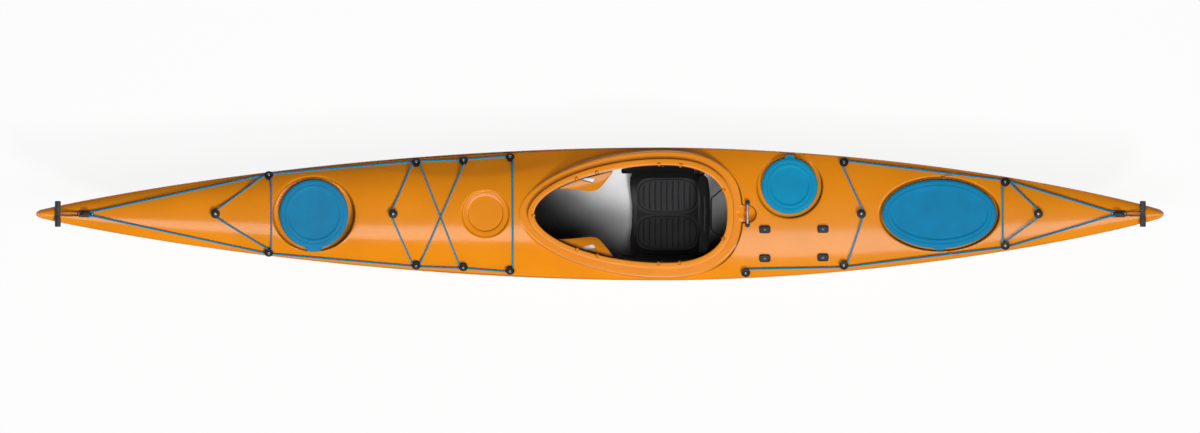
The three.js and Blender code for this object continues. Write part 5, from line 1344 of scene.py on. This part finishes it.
def seat_hanger(side):
    """Plate that hangs the seat from the rim's wall on one side, with two screws."""
    start, length = SEAT_FRONT - 0.040, 0.327
    rings = []
    for x in np.linspace(start, start + length, 25):
        out, base = opening_half(x) - 0.0006, float(surround_top(x))
        to_front = float(np.clip((SEAT_FRONT + 0.030 - x) / 0.070, 0, 1))
        low = mix(float(pan_height(x, SEAT_HALF)), base - 0.030, to_front)
        edge = 0.014 * abs(2 * (x - start) / length - 1) ** 10
        outer = [(out, base + 0.0035 - edge), (out, base - 0.016),
                 (mix(out, SEAT_HALF, 0.5) + 0.002, mix(base - 0.016, low, 0.5)), (SEAT_HALF + 0.0005, low + 0.004),
                 (SEAT_HALF - 0.001, low - 0.003)]
        inner = [(y - 0.0038, z + (0.0006 if k < 4 else 0)) for k, (y, z) in enumerate(outer)]
        rings.append([(x, side * y, z) for y, z in outer + inner[::-1]])
    form = Form()
    form.solid(rings)
    hanger = form.made(f"seat_hanger_{side_name(side)}", seat_black, slot="black_plastic", sharp=40, detail=1)
    for number, x in ((1, start + 0.185), (2, start + 0.265)):
        screw = Form()
        y, z = side * (opening_half(x) - 0.0048), float(surround_top(x)) - 0.006
        screw_head(screw, frame_of(x, y, z, (1, 0, 0), (0, -side, 0)), 0.0052, 0.0026, 0)
        screw.made(f"hanger_screw_{side_name(side)}_{number}", steel, slot="stainless", sharp=36)
    return hanger


def seat_ear(side):
    """Upright beside the seat's rear that carries the back band's pivot."""
    low = float(pan_height(SEAT_REAR, SEAT_HALF)) - 0.003
    top, outer = BAND_Z + 0.021, SEAT_HALF - 0.0002
    first, last = SEAT_REAR - 0.046, BAND_X + 0.023
    outline = [(first, low), (first + 0.004, low + 0.012), (BAND_X - 0.024, top - 0.008),
               (BAND_X - 0.016, top - 0.002), (BAND_X - 0.006, top), (BAND_X + 0.010, top),
               (last - 0.005, top - 0.004), (last, top - 0.012), (last, low + 0.006), (last - 0.006, low)]
    middle_x, middle_z = np.mean(outline, 0)
    rings = [[(mix(x, middle_x, shrink), side * (outer - inward), mix(z, middle_z, shrink)) for x, z in outline]
             for inward, shrink in ((0.0007, 0.03), (0, 0), (0.0030, 0), (0.0038, 0.03))]
    form = Form()
    form.solid(rings[::side])
    boss = frame_of(BAND_X, side * (outer - 0.0030), BAND_Z, (1, 0, 0), (0, -side, 0))
    form.turn(mm((0, 0), (10, 0), (10, 5.5), (9.2, 6.6), (6, 7), (0, 7)), boss)
    pin = frame_of(BAND_X, side * (outer + 0.0002), BAND_Z, (1, 0, 0), (0, side, 0))
    form.turn(mm((0, -0.4), (5.6, -0.4), (5, 2.2), (0, 2.6)), pin, 24, 1)
    return form.made(f"seat_ear_{side_name(side)}", [seat_black, steel], slot="black_plastic", sharp=40)


def capped(push, limit):
    """A move no longer than a limit."""
    return push * (limit / push.length) if push.length > limit else push


def plumped(obj, pressure, cap, pinned):
    """Fills a closed cloth form with air: cloth with pressure and no gravity, held where pinned says."""
    trial = linked("trial", obj.data.copy())
    even = trial.modifiers.new("even", "REMESH")
    even.mode, even.voxel_size = "VOXEL", 0.005
    settle(trial)
    start = [vert.co.copy() for vert in trial.data.vertices]
    held = trial.vertex_groups.new(name="held")
    held.add([i for i, spot in enumerate(start) if pinned(spot)], 1.0, "REPLACE")
    settings = trial.modifiers.new("cloth", "CLOTH").settings
    settings.quality, settings.mass = 6, 0.25
    settings.tension_stiffness = settings.compression_stiffness = 12
    settings.bending_stiffness = 0.8
    settings.use_pressure, settings.uniform_pressure_force = True, pressure
    settings.effector_weights.gravity = 0
    settings.vertex_group_mass = "held"
    scene = bpy.context.scene
    for step in range(1, 21):
        scene.frame_set(step)
    blown = trial.evaluated_get(bpy.context.evaluated_depsgraph_get()).to_mesh()
    moved = [vert.co.copy() for vert in blown.vertices]
    for vert, first, last in zip(trial.data.vertices, start, moved):
        vert.co = first + capped(last - first, cap)
    trial.modifiers.clear()
    scene.frame_set(1)
    return trial


def surface_of(obj):
    """Lookup tree of a piece's surface."""
    return BVHTree.FromPolygons([vert.co.copy() for vert in obj.data.vertices],
                                [tuple(face.vertices) for face in obj.data.polygons])


def lobe(x, y):
    """Where a spot lies in its side's seat lobe: 0 at the lobe's middle, 1 on its seam."""
    along = (x - PAD_MIDDLE) / (PAD_LENGTH / 2 - 0.006)
    across = (np.abs(y) - LOBE_MIDDLE) / LOBE_HALF
    return (np.abs(along) ** 3.2 + np.abs(across) ** 3.2) ** (1 / 3.2)


def peak(away, width):
    """Soft peak of height 1 where away is 0."""
    return np.exp(-(away / width) ** 2)


def sewn_lines(x, y):
    """Distance to the nearest channel line, share inside the lobe's field, nearness to its seam and its piping."""
    inside = lobe(x, y)
    pitch = PAD_LENGTH / (PAD_CHANNELS + 1.6)
    phase = (x - PAD_MIDDLE) / pitch + 0.12 * np.cos((np.abs(y) - LOBE_MIDDLE) * 20)
    off_line = (phase - np.round(phase)) * pitch
    return off_line, np.clip((0.93 - inside) / 0.06, 0, 1), peak(inside - 0.985, 0.018), peak(inside - 1.05, 0.02)


def pad_sheet(x, y, floor, height):
    """Closed form of the seat pad from grids of its places, its floor and its height."""
    form = Form()
    for level, step in ((floor + height, 1), (floor - 0.0008, -1)):
        ids = np.array(form.add(np.stack([x, y, level], -1).reshape(-1, 3))).reshape(x.shape)
        for near, far in zip(ids, ids[1:]):
            for a, b, c, d in zip(near, far, far[1:], near[1:]):
                form.face((int(a), int(b), int(c), int(d))[::step])
    return form


def pad_swell(x, y, floor, rise, fill):
    """How far air lifts the seat pad above a low start, held at its seams."""
    def seam(spot):
        inside = float(lobe(spot.x, spot.y))
        return abs(inside - 1) < 0.05 or inside > 1 or spot.z < float(pan_height(spot.x, spot.y)) + 0.003

    rough = pad_sheet(x, y, floor, rise).mesh("start")
    cleaned(rough, 0.0012)
    start = linked("start", rough)
    trial = plumped(start, 4.0, 0.008, seam)
    tree = surface_of(trial)
    swell = np.zeros_like(x)
    for spot in np.argwhere(fill > 0.05):
        i, j = spot
        hit = tree.ray_cast(Vector((x[i, j], y[i, j], 0.3)), Vector((0, 0, -1)))[0]
        if hit:
            swell[i, j] = np.clip(hit.z - floor[i, j] - rise[i, j], 0, 0.006)
    bpy.data.objects.remove(trial)
    bpy.data.objects.remove(start)
    return swell


def seat_cushion():
    """Seat pad: two crowned lobes with stitched channels, a piped seam round each, and a low panel between them."""
    power = 7
    a, b = np.meshgrid(np.linspace(-1, 1, 151), np.linspace(-1, 1, 177), indexing="ij")
    edge = np.maximum(np.abs(a), np.abs(b))
    reach = edge / np.maximum((np.abs(a) ** power + np.abs(b) ** power) ** (1 / power), 1e-9)
    x = PAD_MIDDLE + a * reach * PAD_LENGTH / 2
    y = b * reach * PAD_HALF
    floor = pan_height(x, y) + 0.0012
    fill = np.clip(1 - lobe(x, y) ** 3.5, 0, 1) ** 0.55
    rise = 0.0065 * (1 - edge**16) ** 0.5 + 0.0125 * fill
    swell = pad_swell(x, y, floor, rise * 0.75, fill)
    off_line, in_lobe, seam_line, piping = sewn_lines(x, y)
    pucker = 0.0005 * np.sin(y * 900 + np.sin(x * 130) * 2) * peak(off_line, 0.006)
    height = rise * 0.9 + swell * fill + (pucker - 0.0042 * peak(off_line, 0.0024)) * in_lobe
    height += 0.0018 * piping * (edge < 0.985) - 0.0030 * seam_line
    form = pad_sheet(x, y, floor, np.maximum(height, 0.0016 * (1 - edge**30)))
    pad = form.made("seat_pad_cushion", cloth, slot="seat_fabric", stands_for="seat_pad", sharp=70, merge=1e-4)
    x, y, _ = np.array([vert.co[:] for vert in pad.data.vertices]).T
    off_line, in_lobe, seam_line, _ = sewn_lines(x, y)
    # Painted shade: dark in the channels and on the seams, and a lighter painted shade over the panel between the
    # lobes.
    between = np.clip((lobe(x, y) - 1.09) / 0.05, 0, 1) * 0.45
    paint(pad, "sewn", np.maximum(np.maximum(peak(off_line, 0.0026) * in_lobe, seam_line), between))
    return pad


def band_centre(side, height):
    """Middle of the back band's thickness, at a share of its half width and a height over its pivot."""
    return BAND_X + 0.034 * height / BAND_HEIGHT - 0.010 * side**2


def back_band():
    """Back band: a crowned pad that leans back, with its ends wrapped forward and a stitched line across its face."""
    rings = []
    for side in np.linspace(-1, 1, 57):
        front, back = [], []
        for share in np.linspace(0, 1, 33):
            bulge = math.sin(math.pi * share) ** 0.5 if 0 < share < 1 else 0
            height = share * BAND_HEIGHT - BAND_DROP
            corner = 0.05 * max(2 * share - 1, 0) ** 2 * side**4 + 0.03 * (abs(2 * share - 1) ** 8) * side**2
            y = side * (1 - corner) * (BAND_HALF - 0.001)
            thick = (0.0035 + 0.0085 * bulge) * max((1 - abs(side) ** 8) ** 0.5, 0.12)
            line = 0.0016 * (peak(share - 0.86, 0.02) + peak(share - 0.14, 0.02))
            centre = band_centre(side, height)
            front.append((centre - thick + line, y, BAND_Z + height))
            back.append((centre + thick - line, y, BAND_Z + height))
        rings.append(front + back[::-1])
    form = Form()
    form.solid(rings)
    band = form.made("back_band_pad", band_cloth, body="backband", slot="seat_fabric", stands_for="backband",
                     sharp=70)
    trial = plumped(band, 4.0, 0.005, lambda spot: abs(spot.y) > BAND_HALF * 0.94
                    or not BAND_Z - 0.002 < spot.z < BAND_Z + 0.132)
    tree = surface_of(trial)
    for vert in band.data.vertices:
        near = tree.find_nearest(vert.co)[0]
        if near is not None and (near - vert.co).dot(vert.normal) > 0:
            vert.co += capped((near - vert.co) * 0.8, 0.004)
    bpy.data.objects.remove(trial)
    stitches = Form()
    height = 0.8 * BAND_HEIGHT - BAND_DROP
    for middle in np.linspace(-0.074, 0.074, 17):
        x = band_centre(middle / BAND_HALF, height) - 0.0127
        stitch = ((0, -0.0031), (-0.0008, -0.0016), (-0.0008, 0.0016), (0, 0.0031))
        stitches.tube([(x + out, middle + along, BAND_Z + height) for out, along in stitch], 0.0007, 8)
    stitches.made("back_band_stitches", stitch_thread, body="backband", slot="seat_fabric", sharp=60)
    return band


def band_cord():
    """Cord from the rim's rear wall to the back band, across it and back."""
    end_half, half, radius = COCKPIT_WIDTH * 0.25, 0.067, 0.003
    wall_share = (1 - 0.5**REAR_POWER) ** (1 / REAR_POWER)
    wall_x = COCKPIT_X + (REAR_REACH - radius - GAP) * wall_share
    wall_z = float(surround_top(wall_x)) - 0.010
    height = BAND_HEIGHT * 0.8 - BAND_DROP
    level = BAND_Z + height
    half_thick = mix(0.003, 0.013, 1 - 0.6**3)
    behind = band_centre(0, height) + half_thick + radius + 0.0012
    side = [(wall_x - GAP, end_half, wall_z),
            (mix(wall_x, behind, 0.3), mix(end_half, half, 0.3), mix(wall_z, level, 0.22)),
            ((behind + wall_x) / 2, (half + end_half) / 2, mix(level, wall_z, 0.45)),
            (behind + radius * 1.4, half + radius * 1.6, level + 0.0006), (behind + 0.0004, half - radius * 4, level),
            (behind + 0.0002, half * 0.5, level)]
    form = Form()
    form.tube(curve_through(mirrored(side), CORD_STEP), radius)
    cord = form.made("backband_cord_braid", black_cord, body=None, slot="black_cord",
                     stands_for="backband_cord", sharp=60)
    behind + 0.004
    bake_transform(cord)
    return cord


for hand in (-1, 1):
    thigh_brace(hand)
    seat_hanger(hand)
    seat_ear(hand)
seat_pan()
seat_cushion()
back_band()
band_cord()
for finish, nodes in ((panel_grey, ("bow_bulkhead", "aft_bulkhead", "day_bulkhead")),
                      (rail_metal, ("foot_rail_port", "foot_rail_starboard")),
                      (black, ("foot_pedal_port", "foot_pedal_starboard"))):
    for node in nodes:
        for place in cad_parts[node].material_slots:
            place.material = finish


def lit(name, kind, power, place, aim=(0, 0, 0.1)):
    """Light at a place, turned towards a point on the boat."""
    data = bpy.data.lights.new(name, kind)
    data.energy = power
    obj = linked(name, data)
    obj.location = place
    obj.rotation_mode = "QUATERNION"
    obj.rotation_quaternion = (Vector(aim) - Vector(place)).to_track_quat("-Z", "Y")
    return obj


def shows_white(look):
    """Mixes in a white that only the camera, and what mirrors or bends its view, sees."""
    tree = look.tree
    path = tree.nodes.new("ShaderNodeLightPath")
    seen, glossy, bent_view = (Value(look, path.outputs[f"Is {kind} Ray"])
                               for kind in ("Camera", "Glossy", "Transmission"))
    white = tree.nodes.new("ShaderNodeEmission")
    white.inputs[0].default_value, white.inputs[1].default_value = (1, 1, 1, 1), 1.0
    mixed = tree.nodes.new("ShaderNodeMixShader")
    tree.links.new((seen.at_least(glossy).at_least(bent_view) * FLOOR_WHITE).socket, mixed.inputs[0])
    tree.links.new(look.shader.outputs[0], mixed.inputs[1])
    tree.links.new(white.outputs[0], mixed.inputs[2])
    tree.links.new(mixed.outputs[0], tree.nodes["Material Output"].inputs["Surface"])


FLOOR_WHITE = 0.9


def pale_floor():
    """Level floor, white in the picture, that keeps the boat's soft shadow."""
    form = Form()
    form.face(tuple(form.add([(-9, -9, 0), (9, -9, 0), (9, 9, 0), (-9, 9, 0)])))
    look = Look("pale_floor", Roughness=0.9, Specular_IOR_Level=0.0)
    look.set("Base Color", look.blend(look.noise(40.0, 3.0), (0.88, 0.88, 0.88, 1), (0.92, 0.92, 0.92, 1)))
    shows_white(look)
    mesh = form.mesh("pale_floor")
    mesh.materials.append(look.material)
    linked("pale_floor", mesh)


pale_floor()
world = bpy.data.worlds.new("even_sky")
bpy.context.scene.world = world
world.use_nodes = True
world.node_tree.nodes["Background"].inputs[0].default_value = (1, 1, 1, 1)
world.node_tree.nodes["Background"].inputs[1].default_value = 0.09
softbox = lit("long_softbox", "AREA", 205, (0.3, -1.75, 6.0))
softbox.data.shape, softbox.data.size, softbox.data.size_y = "RECTANGLE", 7.0, 2.2
side_light = lit("side_light", "SUN", 1.7, (1.2, -2.8, 3.4))
side_light.data.angle = math.radians(12)
side_light.visible_glossy = False

bpy.context.scene.view_settings.view_transform = "Standard"
